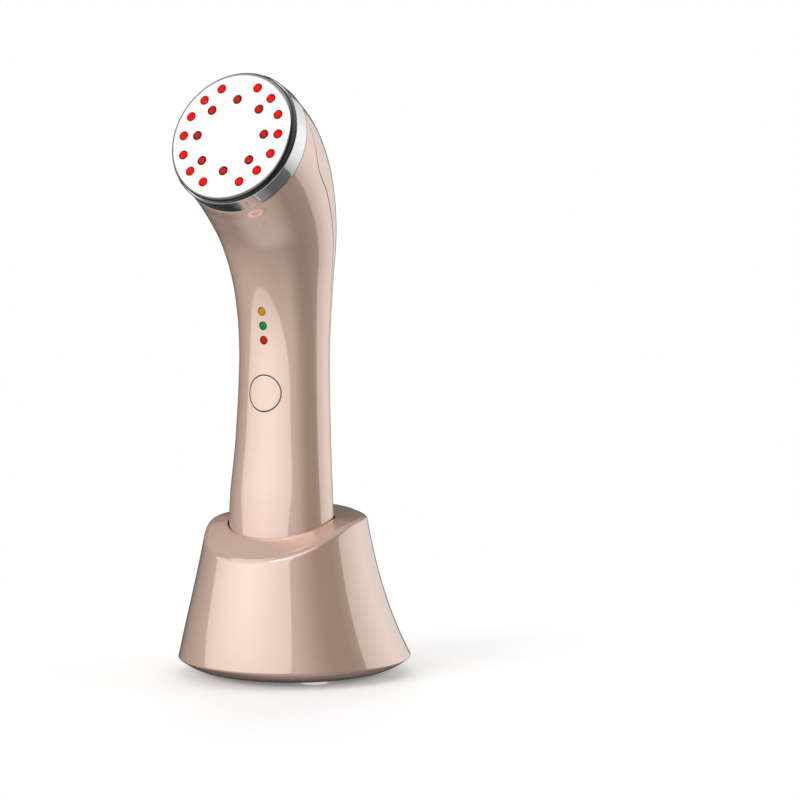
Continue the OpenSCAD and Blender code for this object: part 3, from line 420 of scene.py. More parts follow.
def border_ways(s, q, rows, cols):
    """For a shell's border: its points, the way out of the skin, the way off its edge, and
    the part of that which crosses the seam."""
    i, j = grid_border(rows, cols)
    up, round_, out = skin_ways(s[i, j], q[i, j])
    off = up * np.where(i == rows - 1, 1.0, np.where(i == 0, -1.0, 0.0))[:, None]
    side = np.where(j == cols - 1, 1.0, np.where(j == 0, -1.0, 0.0))[:, None] * round_
    return skin(s[i, j], q[i, j]) - GAP * side, out, off + side, side


def window(mould, grid_ids, s, q, cells, loop_sq, ring_ids, inset):
    """Fills a window of a grid, from its edge to a ring round an opening."""
    i0, i1, j0, j1 = cells
    i, j = grid_border(i1 - i0 + 1, j1 - j0 + 1)
    edge = spots(s[i + i0, j + j0], q[i + i0, j + j0])
    loops = [grid_ids[i + i0, j + j0]]
    for k in range(1, 5):
        share = k / 5
        sq = mix(edge, loop_sq, share)
        n = skin_ways(sq[:, 0], sq[:, 1], inset)[2] * (-1 if inset else 1)
        loops.append(mould.add(skin(sq[:, 0], sq[:, 1], inset), n))
    mould.bands(loops + [ring_ids])


def even_rows(side, count):
    """Station numbers spaced evenly along the skin's middle line."""
    s = np.linspace(0, RIM_S, 800)
    line = skin(s, np.full(800, math.pi / 2 if side < 0 else 1.5 * math.pi))
    run = np.append(0, np.cumsum(np.linalg.norm(np.diff(line, axis=0), axis=1)))
    return np.interp(np.linspace(0, run[-1], count), run, s)


BUTTON_Z, BUTTON_R, BUTTON_GAP, BUTTON_WINDOW = 96.3, 6.1, 0.15, 9.2
INDICATORS = {"yellow": 123.6, "green": 118.8, "red": 114.0}
INDICATOR_R, INDICATOR_GAP, INDICATOR_WINDOW = 1.4, 0.05, 2.36
rows, cols = 170, 73
s_rows = even_rows(-1, rows)
seam = np.radians(along(stations, s_rows)[:, 6])
share = np.linspace(0, 1, cols)[None, :]
q = -seam[:, None] + (math.pi + 2 * seam[:, None]) * share
s = np.repeat(s_rows[:, None], cols, 1)
outer, inner = skin(s, q), skin(s, q, SHELL_WALL)
n_out, n_in = skin_ways(s, q)[2], -skin_ways(s, q, SHELL_WALL)[2]
i, j = grid_border(rows, cols)
corner, n, m, side = border_ways(s, q, rows, cols)
face_row, middle_row, side_row = rolled(corner, n, m, SEAM_LIP)
outer[i, j], inner[i, j] = face_row, inner[i, j] - GAP * side
front_shell = Moulding()
outer_ids, inner_ids = front_shell.add(outer, n_out), front_shell.add(inner, n_in)
front_shell.bands([outer_ids[i, j], front_shell.add(middle_row, unit(n + m)),
                   front_shell.add(side_row, m), inner_ids[i, j]])
keep = np.ones((rows - 1, cols - 1), bool)
bores = [(BUTTON_Z, BUTTON_R + BUTTON_GAP, BUTTON_WINDOW)]
bores += [(z, INDICATOR_R + INDICATOR_GAP, INDICATOR_WINDOW) for z in INDICATORS.values()]
for bore_z, bore_r, reach in bores:
    i0, i1 = (int(np.argmin(abs(skin(s_rows, s_rows * 0 + math.pi / 2)[:, 2] - z)))
              for z in (bore_z - reach, bore_z + reach))
    row = (i0 + i1) // 2
    j0, j1 = sorted(int(np.argmin(abs(outer[row, :, 0] - x))) for x in (-reach, reach))
    keep[i0:i1, j0:j1] = False
    i, j = grid_border(i1 - i0 + 1, j1 - j0 + 1)
    wall = []
    for ids, points, inset, lip in ((outer_ids, outer, 0, LIP), (inner_ids, inner, SHELL_WALL, 0)):
        edge = points[i + i0, j + j0]
        angle = np.arctan2(edge[:, 2] - bore_z, edge[:, 0])
        around = spots(np.cos(angle), 0, np.sin(angle))
        x, _, z = ((bore_r + lip) * around).T
        at = on_skin(-1, x, bore_z + z, inset)
        out, on_face = skin_ways(*at, inset)[2], skin(*at, inset)
        wall.append(front_shell.add(on_face, -out if inset else out))
        window(front_shell, ids, s, q, (i0, i1, j0, j1), spots(*at), wall[-1], inset)
        if lip:
            corner = skin(*on_skin(-1, bore_r * around[:, 0], bore_z + bore_r * around[:, 2]))
            on_side = corner + [0, lip, 0]
            middle = corner + ROUNDING * (on_face + on_side - 2 * corner)
            wall += [front_shell.add(middle, unit(out - around)), front_shell.add(on_side, -around)]
    front_shell.bands(wall)
front_shell.grid(outer_ids, keep)
front_shell.grid(inner_ids, keep)
front_piece = front_shell.piece("front_shell_lacquered")


def noise(tree, scale, detail, **more):
    """A cloudy pattern fixed to the object."""
    return node(tree, "ShaderNodeTexNoise", Vector=place_in(tree), Scale=scale, Detail=detail,
                **more)


def times(colour, share):
    return tuple(min(1, c * share) for c in colour)


def worn(tree, shader, dull, dull_span, relief, strength, depth=0.0001):
    """Ends a material: its dullness and its relief each follow a pattern. dull_span holds
    the pattern's and the dullness's least and most."""
    feed(tree, shader.inputs["Roughness"], node(tree, "ShaderNodeMapRange", dull, *dull_span))
    feed(tree, shader.inputs["Normal"],
         node(tree, "ShaderNodeBump", Height=relief, Strength=strength, Distance=depth))
    end_in(tree, shader)


def lacquer(name, colour, pearl=0.03):
    """Metallic pearl lacquer under a clear coat: fine flakes, a faint orange peel and
    patches of slightly duller sheen."""
    mat, tree = new_material(name)
    flakes = tones(tree, noise(tree, 9000.0, 2.0), (0.3, times(colour, 1 - pearl)),
                   (0.7, times(colour, 1 + pearl)))
    shader = node(tree, "ShaderNodeBsdfPrincipled", Metallic=0.32, Coat_Weight=1.0,
                  Coat_Roughness=0.03, Coat_IOR=2.7, Base_Color=flakes)
    worn(tree, shader, noise(tree, 60.0, 4.0), (0.35, 0.65, 0.05, 0.08),
         noise(tree, 1400.0, 1.0), 0.02)
    return mat


rose_lacquer = lacquer("rose_lacquer", (0.9, 0.61, 0.485))


def finish_piece(piece, material, body, slot, *replaced):
    piece.data.materials.clear()
    piece.data.materials.append(material)
    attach(piece, body)
    if replaced:
        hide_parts(*replaced)


finish_piece(front_piece, rose_lacquer, "handset", "rose_shell", "front_shell")

# Rear shell
# The back half of the handset, moulded and lacquered like the front. A seat 1.2 mm deep
# takes the metal loop and the inlay inside it, and opens for the mode button.
LOOP_W, SEAT_DEPTH, SLIP, BED = 3.5, 1.2, 0.1, 0.15
MODE_Z, MODE_W, MODE_H = 162.0, 14.4, 19.3
LOOP_SIDE, LOOP_RISE, FAN_Z, ARCH_FROM = MODE_W / 2 + 4.7, MODE_H / 2 + 2.25, MODE_Z - 11.3, 9.0


def loop_grip(narrow, height):
    return [mix(9.6, 4.0, narrow), mix(FOOT_Z, WAIST_Z, height)]


def loop_neck(widen, height):
    return [mix(4.0, LOOP_SIDE, widen), mix(WAIST_Z, MODE_Z, height)]


# Half of the loop's middle line, from its foot to its top: distance from the middle, height
loop_half = [
    loop_grip(0, 0.233), loop_grip(0.18, 0.36), loop_grip(0.59, 0.534), loop_grip(0.893, 0.767),
    loop_grip(1, 0.965), loop_neck(0.063, 0.23), loop_neck(0.253, 0.52), loop_neck(0.506, 0.762),
    loop_neck(0.747, 0.892), loop_neck(1, 1), [0.9 * LOOP_SIDE, MODE_Z + 0.4 * LOOP_RISE],
    [0.52 * LOOP_SIDE, MODE_Z + 0.773 * LOOP_RISE], [0, MODE_Z + LOOP_RISE]]
LOOP_TOP = len(loop_half) - 1
loop_line = np.array(loop_half + [[-x, z] for x, z in loop_half[-2::-1]])


def beside_loop(u, out):
    """Points beside the loop's middle line, out being positive away from its inside."""
    u = np.asarray(u, float)
    way = unit(along(loop_line, u + 0.02) - along(loop_line, u - 0.02))
    return along(loop_line, u) + out * spots(way[..., 1], -way[..., 0])


mode_s, mode_q = on_skin(1, 0.0, MODE_Z)
mode_spot = skin(mode_s, mode_q)
mode_up, _, mode_out = skin_ways(mode_s, mode_q)


def line_at(line, centre, angle):
    """Where the rays from a centre, at angles round it, first meet a closed line."""
    ray = spots(np.cos(angle), np.sin(angle))
    best = np.full(len(ray), 1e9)
    for a, b in zip(line, np.roll(line, -1, 0)):
        edge, start = b - a, a - centre
        cross = ray[:, 0] * edge[1] - ray[:, 1] * edge[0]
        cross = np.where(abs(cross) < 1e-9, 1e-9, cross)
        far = (start[0] * edge[1] - start[1] * edge[0]) / cross
        on = (start[0] * ray[:, 1] - start[1] * ray[:, 0]) / cross
        best = np.where((far > 0) & (on > -1e-6) & (on < 1 + 1e-6), np.minimum(best, far), best)
    return centre + ray * best[:, None]


def mode_outline(grow, angle):
    """The mode button's outline, a tall diamond with rounded corners, at angles round it."""
    w, h, flat, tip_r, side_r = MODE_W / 2 + grow, MODE_H / 2 + 1.4 * grow, 2.4, 1.6, 1.0
    slope = math.atan2(h - flat, w)
    side = np.linspace(0, math.pi / 2 - slope, 25)
    tip = np.linspace(math.pi / 2 - slope, math.pi / 2, 25)
    corner = np.concatenate([
        spots(w - side_r + side_r * np.cos(side),
              flat - side_r * math.tan(slope / 2) + side_r * np.sin(side)),
        spots(tip_r * np.cos(tip), h - tip_r / math.cos(slope) + tip_r * np.sin(tip))])
    back = corner[-2::-1]
    line = np.concatenate([corner, back * [-1, 1], -corner, back * [1, -1]])
    return line_at(line[np.any(line != np.roll(line, -1, 0), 1)], np.zeros(2), angle)


def mode_prism(flat, depth):
    """Where the straight side of a mode outline meets the layer at a depth below the skin,
    as its distance from the middle plane and its height."""
    across, z = flat[:, 0].copy(), MODE_Z + flat[:, 1] * mode_up[2]
    for _ in range(12):
        s, q = on_skin(1, across, z)
        point = skin(s, q, sunk=depth)
        across += flat[:, 0] - point[:, 0]
        z += flat[:, 1] - (point - mode_spot) @ mode_up
    return spots(across, z)


def back_layer(mould, flat, depth):
    s, q = on_skin(1, flat[..., 0], flat[..., 1])
    return mould.add(skin(s, q, sunk=depth), skin_ways(s, q)[2])


def sheet(mould, loop, foot_cells, depth, hole):
    """A layer on the back at a depth below the skin, inside a closed line that starts
    along its foot and has equal sides. It is a grid up to the mode button and a fan round
    the button's opening. Returns the points round it and round the opening."""
    count = len(loop)
    border = back_layer(mould, loop, depth)
    right = [(foot_cells + k) % count for k in range(count // 2)]
    left = [(-k) % count for k in range(count // 2)]
    split = next(k for k in range(len(right)) if loop[right[k], 1] > FAN_Z)
    share = np.linspace(0, 1, foot_cells + 1)[:, None]
    ids = [border[:foot_cells + 1]]
    for k in range(1, split + 1):
        line = back_layer(mould, mix(loop[left[k]], loop[right[k]], share)[1:-1], depth)
        ids.append(np.concatenate([[border[left[k]]], line, [border[right[k]]]]))
    mould.grid(np.stack(ids))
    upper = list(range(right[split] + 1, count - split))
    edge = np.concatenate([mix(loop[left[split]], loop[right[split]], share), loop[upper]])
    turn = np.arctan2((edge[:, 1] - MODE_Z) / mode_up[2], edge[:, 0])
    flat = mode_prism(mode_outline(hole, turn), depth)
    rings = [np.concatenate([ids[-1], border[upper]])]
    rings += [back_layer(mould, mix(edge, flat, k / 5), depth) for k in range(1, 6)]
    mould.bands(rings)
    return border, rings[-1], turn


def back_edge(mould, loop, depth, lip, sign):
    """The rolled rows along an outline on the back; sign is 1 round an opening."""
    s, q = on_skin(1, *loop.T)
    corner, n = skin(s, q, sunk=depth), skin_ways(s, q)[2]
    m = sign * unit(np.cross(unit(np.roll(corner, -1, 0) - np.roll(corner, 1, 0)), n))
    on_face, middle, on_side = rolled(corner, n, m, lip)
    return mould.add(on_face, n), mould.add(middle, unit(n + m)), mould.add(on_side, m)


rows, cols = 170, 49
s_rows = even_rows(1, rows)
seam = np.radians(along(stations, s_rows)[:, 6])
q = math.pi + seam[:, None] + (math.pi - 2 * seam[:, None]) * np.linspace(0, 1, cols)[None, :]
s = np.repeat(s_rows[:, None], cols, 1)

# The seat's outline, matched point by point to the shell's border: its sides by station,
# its foot and its arch by their share of the way
side_line = beside_loop(np.linspace(-0.04, ARCH_FROM, 500), LOOP_W / 2 + SLIP)
side_s = on_skin(1, side_line[:, 0], side_line[:, 1])[0]
low_rows, high_rows = int(np.sum(s_rows < side_s[0])), int(np.sum(s_rows > side_s[-1]))
side_rows = s_rows[low_rows:rows - high_rows]
right = spots(*(np.interp(side_rows, side_s, side_line[:, k]) for k in (0, 1)))
right[0] = side_line[0]
foot_cells = 2 * low_rows + cols - 1
foot_line = spots(np.linspace(-right[0, 0], right[0, 0], foot_cells + 1), right[0, 1])
arch_line = np.vstack([right[-1:],
                       beside_loop(np.linspace(ARCH_FROM + 0.02, LOOP_TOP, 200),
                                   LOOP_W / 2 + SLIP)])
arch_run = np.append(0, np.cumsum(np.linalg.norm(np.diff(arch_line, axis=0), axis=1)))
arch_count = 2 * high_rows + cols - 2
steps = np.linspace(0, 2 * arch_run[-1], arch_count + 2)[1:-1]
folded = np.minimum(steps, 2 * arch_run[-1] - steps)
arch = spots(*(np.interp(folded, arch_run, arch_line[:, k]) for k in (0, 1)))
arch[steps > arch_run[-1], 0] *= -1
arch[arch_count // 2, 0] = 0
seat_loop = np.concatenate([foot_line, right[1:], arch, (right * [-1, 1])[:0:-1]])

rear_shell = Moulding()
border_at = np.roll(np.arange(2 * rows + 2 * cols - 4), low_rows)
i, j = grid_border(rows, cols)
corner, n, m, side = (x[border_at] for x in border_ways(s, q, rows, cols))
edge_sq = spots(s[i, j], q[i, j])[border_at]
seat_sq = spots(*on_skin(1, *seat_loop.T))
face_row, middle_row, side_row = rolled(corner, n, m, SEAM_LIP)
face_ids = rear_shell.add(face_row, n)
inside_edge = rear_shell.add(skin(*edge_sq.T, sunk=SHELL_WALL) - GAP * side, -n)
rear_shell.bands([face_ids, rear_shell.add(middle_row, unit(n + m)), rear_shell.add(side_row, m),
                  inside_edge])
over, under = [face_ids], [inside_edge]
FAN = 16
for k in range(1, FAN):
    sq = mix(edge_sq, seat_sq, k / FAN).T
    out = skin_ways(*sq)[2]
    over.append(rear_shell.add(skin(*sq), out))
    under.append(rear_shell.add(skin(*sq, sunk=SHELL_WALL), -out))
floor_edge, floor_opening = sheet(rear_shell, seat_loop, foot_cells, SEAT_DEPTH, SLIP)[:2]
inner_edge, inner_opening = sheet(rear_shell, seat_loop, foot_cells, SHELL_WALL, SLIP)[:2]
rear_shell.bands(over + list(back_edge(rear_shell, seat_loop, 0, LIP, 1)) + [floor_edge])
rear_shell.bands(under + [inner_edge])
rear_shell.bands([floor_opening, inner_opening])
finish_piece(rear_shell.piece("rear_shell_lacquered"), rose_lacquer, "handset", "rose_shell",
             "rear_shell")

# Electrode loop
# The chromed metal band that leads the grip's current to the hand. It narrows to the
# waist and arches round the mode button, set in its seat with a low crown.
LOOP_CROWN, LOOP_STEPS = 0.2, 300
half = LOOP_W / 2
profile = [(-half, SEAT_DEPTH - BED), (-half, 0.45), (-half + 0.03, 0.28), (-half + 0.1, 0.14),
           (-half + 0.22, 0.04)]
profile += [(x, -LOOP_CROWN * (1 - (x / (half - 0.15)) ** 2))
            for x in np.linspace(-1.35, 1.35, 11)]
profile += [(-x, d) for x, d in profile[4::-1]]
electrode = Moulding()
u = np.linspace(0, 2 * LOOP_TOP, LOOP_STEPS + 1)
rings = []
for x, depth in profile:
    line = beside_loop(u, x)
    rings.append(skin(*on_skin(1, *line.T), sunk=depth))
ids = electrode.add(np.stack(rings, 1), np.array([0, 1.0, 0]))
electrode.grid(np.concatenate([ids, ids[:, :1]], 1))
electrode.faces += [ids[0].tolist(), ids[-1].tolist()]
loop_piece = electrode.piece("electrode_loop_chromed", 40)


def chrome(name, tint=(0.93, 0.935, 0.94), rough=0.04):
    """Polished chrome plate: hairline polishing marks and faint cloudy handling."""
    mat, tree = new_material(name)
    shader = node(tree, "ShaderNodeBsdfPrincipled", Metallic=1.0, Base_Color=(*tint, 1))
    worn(tree, shader, noise(tree, 90.0, 5.0), (0.35, 0.7, rough, rough + 0.05),
         noise(tree, 700.0, 2.0, Distortion=1.5), 0.012)
    return mat


polished_chrome = chrome("polished_chrome")
finish_piece(loop_piece, polished_chrome, "handset", "polished_chrome", "electrode_loop")

# Rear inlay
# A thin moulded strip in the loop's middle, lacquered like the shells and stuck into
# the seat. It covers the screws and frames the mode button.
INLAY_CELLS, INLAY_SUNK = 24, 0.1
inlay_out = -LOOP_W / 2 - SLIP
inlay = Moulding()


def inlay_loop(out):
    line = beside_loop(np.linspace(0, LOOP_TOP, 220), out)
    line[-1, 0] = 0
    foot = spots(np.linspace(-line[0, 0], line[0, 0], INLAY_CELLS + 1), line[0, 1])
    return np.concatenate([foot, line[1:], (line * [-1, 1])[-2:0:-1]])


top_edge, top_opening, turn = sheet(inlay, inlay_loop(inlay_out - LIP), INLAY_CELLS, INLAY_SUNK,
                                    SLIP + LIP)
low_edge, low_opening = sheet(inlay, inlay_loop(inlay_out), INLAY_CELLS, SEAT_DEPTH - BED, SLIP)[:2]
edge_rows = back_edge(inlay, inlay_loop(inlay_out), INLAY_SUNK, LIP, -1)
inlay.bands([top_edge, *edge_rows[1:], low_edge])
flat = mode_prism(mode_outline(SLIP, turn), INLAY_SUNK)
edge_rows = back_edge(inlay, flat, INLAY_SUNK, LIP, 1)
inlay.bands([top_opening, *edge_rows[1:], low_opening])
finish_piece(inlay.piece("rear_inlay_lacquered"), rose_lacquer, "handset", "rose_shell",
             "rear_inlay")

# Mode button's frame
# A thin chromed frame in the shell's opening, with the cup in which the button slides. Its
# flange holds it against the inside of the wall, and two posts carry the switch's board.
def back_point(flat, out):
    """A point by its place in the mode button's own plane and its height out of it."""
    flat = np.asarray(flat, float)
    return mode_spot + flat[..., :1] * [1, 0, 0] + flat[..., 1:] * mode_up + out * mode_out


def back_ring(grow, depth, angle):
    """A mode outline on the layer at a depth below the skin."""
    return skin(*on_skin(1, *mode_prism(mode_outline(grow, angle), depth).T), sunk=depth)


def round_flat(r, angle):
    return spots(r * np.cos(angle), r * np.sin(angle))


def post(mould, base, top, r, steps=24):
    """A short round bar between two points."""
    way = unit(np.subtract(top, base))
    across = unit(np.cross(way, [1, 0.1, 0.2]))
    other = np.cross(way, across)
    angle = round_angles(steps)[:, None]
    wheel = np.cos(angle) * across + np.sin(angle) * other
    bevel = 0.12 * r
    rings = [mould.add(spot + wheel * radius, way) for spot, radius in (
        (base, r - bevel), (base + way * bevel, r), (top - way * bevel, r), (top, r - bevel))]
    mould.bands(rings)
    mould.faces += [rings[0].tolist(), rings[-1].tolist()]


MODE_FRAME, MODE_FLOOR, MODE_CUP, MODE_STEM_END, MODE_STEM_R = 1.0, 3.2, 4.2, 5.0, 2.5
SWITCH_H, PLUNGER_OUT, STEM_SLIP, POST_OUT, FRAME_POST_R = 3.3, 0.9, 0.15, 5, 1.2
FLANGE_TOP, FLANGE_FOOT, FLANGE_OUT = 2.6, 3.6, 1.2
angle = round_angles(240)
frame_lip = 0.14
mode_frame = Moulding()
rings = [back_ring(0, frame_lip, angle), back_ring(-0.3 * frame_lip, 0.3 * frame_lip, angle),
         back_ring(-frame_lip, 0, angle), back_ring(-MODE_FRAME / 2, -0.03, angle),
         back_ring(frame_lip - MODE_FRAME, 0, angle),
         back_ring(0.3 * frame_lip - MODE_FRAME, 0.3 * frame_lip, angle),
         back_ring(-MODE_FRAME, frame_lip, angle),
         back_point(mode_outline(-MODE_FRAME, angle), -MODE_FLOOR),
         back_point(round_flat(MODE_STEM_R + STEM_SLIP, angle), -MODE_FLOOR),
         back_point(round_flat(MODE_STEM_R + STEM_SLIP, angle), -MODE_CUP),
         back_point(mode_outline(0, angle), -MODE_CUP), back_ring(0, FLANGE_FOOT, angle),
         back_ring(FLANGE_OUT, FLANGE_FOOT, angle), back_ring(FLANGE_OUT, FLANGE_TOP, angle),
         back_ring(0, FLANGE_TOP, angle)]
mode_frame.tube(rings, mode_out)
for x in (-POST_OUT, POST_OUT):
    post(mode_frame, back_point([x, 0], 0.3 - MODE_CUP),
         back_point([x, 0], -MODE_STEM_END - PLUNGER_OUT - SWITCH_H), FRAME_POST_R)


def hard(piece, weight=60):
    """Even shading on a piece with flats and small edges."""
    even = piece.modifiers.new("even_shading", "WEIGHTED_NORMAL")
    even.keep_sharp, even.weight = True, weight
    return piece


finish_piece(hard(mode_frame.piece("mode_frame_chromed", 50)), polished_chrome, "handset",
             "polished_chrome", "mode_bezel")

# Mode button
# A lacquered diamond pad with a softly dished face, flush with the inlay. Its round stem
# goes through the cup to the switch, and it moves in 0.4 mm.
pad_out, pad_lip, pad_dish, pad_end = -MODE_FRAME - 0.15, 0.2, 0.05, -2.7
mode_pad = Moulding()
rings = []
for share in (0.12, 0.3, 0.5, 0.7, 0.86, 0.95):
    flat = mode_prism(mode_outline(pad_out - pad_lip, angle) * share, pad_dish)
    rings.append(skin(*on_skin(1, *flat.T), sunk=pad_dish * (1 - share ** 2)))
rings += [back_ring(pad_out - pad_lip, 0, angle),
          back_ring(pad_out - 0.3 * pad_lip, 0.3 * pad_lip, angle),
          back_ring(pad_out, pad_lip, angle), back_point(mode_outline(pad_out, angle), pad_end),
          back_point(round_flat(MODE_STEM_R, angle), pad_end),
          back_point(round_flat(MODE_STEM_R, angle), 0.2 - MODE_STEM_END),
          back_point(round_flat(MODE_STEM_R - 0.2, angle), -MODE_STEM_END)]
mode_pad.tube(rings, mode_out, [(skin(mode_s, mode_q, sunk=pad_dish), mode_out),
                                (back_point([0, 0], -MODE_STEM_END), -mode_out)])
finish_piece(hard(mode_pad.piece("mode_button_lacquered", 50)), rose_lacquer, "mode_key",
             "rose_shell", "mode_button")

# Power button
# A round lacquered button, flush in the front of the grip and curved as the shell is. A
# flange behind the wall keeps it in, and its hub presses the switch.
power_s, power_q = on_skin(-1, 0.0, BUTTON_Z)
power_spot = skin(power_s, power_q)
row = along(stations, power_s)
FLANGE_R, HUB_R, STEM_LEN = BUTTON_R + 1.1, 2.2, 3.9
SWITCH_SIDE, HOLLOW_AT, FLANGE_T = 6.0, 1.9, 0.9
bore_r = SWITCH_SIDE / math.sqrt(2) + 0.6
inner_w, inner_d = row[3] - SHELL_WALL, row[4] - SHELL_WALL
flange_top = row[4] - inner_d * math.sqrt(1 - (FLANGE_R / inner_w) ** 2) + SLIP


def power_ring(r, depth):
    """A circle on the skin, seen straight on, at a depth below it."""
    return skin(*on_skin(-1, r * np.cos(angle), BUTTON_Z + r * np.sin(angle))) + [0, depth, 0]


def power_flat(r, depth):
    return power_spot + spots(r * np.cos(angle), depth, r * np.sin(angle))


power_key = Moulding()
edge_r = BUTTON_R - 0.18
rings = [power_ring(r, 0) for r in (0.8, 2.0, 3.2, 4.4, 5.2, edge_r - LIP)]
rings += [power_ring(edge_r - 0.035, 0.035), power_ring(edge_r, LIP)]
rings += [power_flat(r, depth) for r, depth in (
    (edge_r, flange_top), (FLANGE_R, flange_top), (FLANGE_R, flange_top + FLANGE_T),
    (bore_r, flange_top + FLANGE_T), (bore_r, HOLLOW_AT), (HUB_R, HOLLOW_AT),
    (HUB_R, STEM_LEN - 0.2), (HUB_R - 0.2, STEM_LEN))]
power_key.tube(rings, [0, -1.0, 0], [(power_spot, [0, -1.0, 0]),
                                     (power_spot + [0, STEM_LEN, 0], [0, 1.0, 0])])
finish_piece(hard(power_key.piece("power_button_lacquered", 50)), rose_lacquer, "power_key",
             "rose_shell", "power_button")

# Indicators
# Three coloured light guides that run from the main board to small round bores in the
# front: yellow, green and red. Their ends are domed, a little below the skin.
BOARD_FRONT_Y = -12.3217


def tinted_guide(name, colour, glow):
    """Cast tinted acrylic: glossy, darker in its depth, with a faint light inside."""
    mat, tree = new_material(name)
    cloud = noise(tree, 500.0, 3.0)
    shader = node(tree, "ShaderNodeBsdfPrincipled", IOR=1.49, Specular_IOR_Level=0.15,
                  Coat_Weight=0.1, Coat_Roughness=0.03,
                  Base_Color=tones(tree, cloud, (0, times(colour, 0.7)), (1, colour)),
                  Emission_Color=(*colour, 1), Emission_Strength=glow)
    worn(tree, shader, cloud, (0, 1, 0.1, 0.25), cloud, 0.03)
    return mat


guide_tints = {"yellow": (0.55, 0.3, 0.004), "green": (0.006, 0.25, 0.035),
               "red": (0.52, 0.008, 0.003)}
angle = round_angles(48)
for colour, z in INDICATORS.items():
    spot = skin(*on_skin(-1, 0.0, z))
    guide = Moulding()
    depth = BOARD_FRONT_Y - spot[1]
    rings = [spot + spots(r * np.cos(angle), back, r * np.sin(angle)) for r, back in (
        (0.5, 0.06), (0.9, 0.14), (1.2, 0.26), (INDICATOR_R, 0.45), (INDICATOR_R, depth - 0.2),
        (INDICATOR_R - 0.2, depth))]
    guide.tube(rings, [0, -1.0, 0], [(spot + [0, 0.04, 0], [0, -1.0, 0]),
                                     ([0, BOARD_FRONT_Y, z], [0, 1.0, 0])])
    finish_piece(guide.piece("indicator_%s_guide" % colour, 50),
                 tinted_guide("guide_" + colour, guide_tints[colour], 0.12),
                 "handset", colour + "_guide", "indicator_" + colour)

# Face plate
# The polished steel disc that touches the skin: a flat face with a rounded edge and a
# skirt behind it. Twenty-two lights show through its two rings of holes.
face_spot = np.array([0, -FACE_AHEAD, FACE_Z])
face_up = np.array([0, math.sin(FACE_TILT), math.cos(FACE_TILT)])
face_out = np.array([0, -math.cos(FACE_TILT), math.sin(FACE_TILT)])


def turned(name, profile, steps=160, closed=True):
    """A piece turned round the head's axis, from radii and heights over the face."""
    mould = Moulding()
    angle = round_angles(steps)[:, None]
    wheel = np.cos(angle) * [1.0, 0, 0] + np.sin(angle) * face_up
    rings = [face_spot + r * wheel + w * face_out for r, w in profile if r > 0]
    ends = [(face_spot + profile[0][1] * face_out, face_out),
            (face_spot + profile[-1][1] * face_out, -face_out)]
    mould.tube(rings, face_out, None if closed else ends)
    return mould.piece(name, 35)


PLATE_R, PLATE_T, FLANGE_END = 22.6, 1.4, 2.2
SKIRT_R, SKIRT_WALL, SKIRT_END = PLATE_R - 1.1, 1.4, 6.2
# The rim rolls over and ends in front of the black groove ring
ROLL_R, ROLL_END, ROLL_IN = 1.6, math.radians(62), 20.79
profile = [(0, 0), (4, 0), (10, 0), (16, 0), (ROLL_IN - 0.3, 0)]
profile += [(ROLL_IN + ROLL_R * math.sin(a), ROLL_R * math.cos(a) - ROLL_R)
            for a in np.linspace(0, ROLL_END, 13)]
profile += [(profile[-1][0] - 0.02, -0.95), (profile[-1][0] - 0.1, -1.0), (SKIRT_R, -1.0),
            (SKIRT_R, -SKIRT_END), (SKIRT_R - SKIRT_WALL, -SKIRT_END),
            (SKIRT_R - SKIRT_WALL, -PLATE_T), (10, -PLATE_T), (0, -PLATE_T)]
face_plate = turned("face_plate_polished", profile, closed=False)

# One hole's cutter, with a small countersink, repeated on the rings by Geometry Nodes
LED_D, OUTER_RING_R = 3.0, PLATE_R - 4.9
INNER_RING_R = OUTER_RING_R - 5.2


def ring_tree(name, material):
    """Geometry Nodes that repeat a piece on a ring, leaving a gap every few steps, and
    then lean the ring to the head's face."""
    tree = bpy.data.node_groups.new(name, "GeometryNodeTree")
    tree.interface.new_socket("Geometry", in_out="OUTPUT", socket_type="NodeSocketGeometry")
    for label, kind in (("Geometry", "Geometry"), ("Ring radius", "Float"), ("Count", "Int"),
                        ("First angle", "Float"), ("Step angle", "Float"), ("Gap every", "Int"),
                        ("Gap from", "Int"), ("Lean", "Float"), ("Centre", "Vector")):
        tree.interface.new_socket(label, in_out="INPUT", socket_type="NodeSocket" + kind)
    given = node(tree, "NodeGroupInput").outputs
    index = node(tree, "GeometryNodeInputIndex")
    turn = maths(tree, "MULTIPLY_ADD", index, given["Step angle"], given["First angle"])
    spot = node(tree, "ShaderNodeCombineXYZ",
                *(maths(tree, "MULTIPLY", maths(tree, wave, turn), given["Ring radius"])
                  for wave in ("COSINE", "SINE")))
    spread = node(tree, "GeometryNodeSetPosition", Position=spot,
                  Geometry=node(tree, "GeometryNodeMeshLine", Count=given["Count"]))
    step = node(tree, "FunctionNodeIntegerMath", index, given["Gap from"], operation="ADD")
    rest = node(tree, "FunctionNodeIntegerMath", step, given["Gap every"], operation="MODULO")
    kept = node(tree, "FunctionNodeCompare", data_type="INT", operation="NOT_EQUAL", A=rest)
    copies = node(tree, "GeometryNodeInstanceOnPoints", Points=spread, Selection=kept,
                  Instance=given["Geometry"], Rotation=node(tree, "ShaderNodeCombineXYZ", Z=turn))
    carried = node(tree, "GeometryNodeTransform", Geometry=copies, Translation=given["Centre"],
                   Rotation=node(tree, "ShaderNodeCombineXYZ", X=given["Lean"]))
    real = node(tree, "GeometryNodeRealizeInstances", carried)
    node(tree, "NodeGroupOutput",
         node(tree, "GeometryNodeSetMaterial", Geometry=real, Material=material))
    return tree


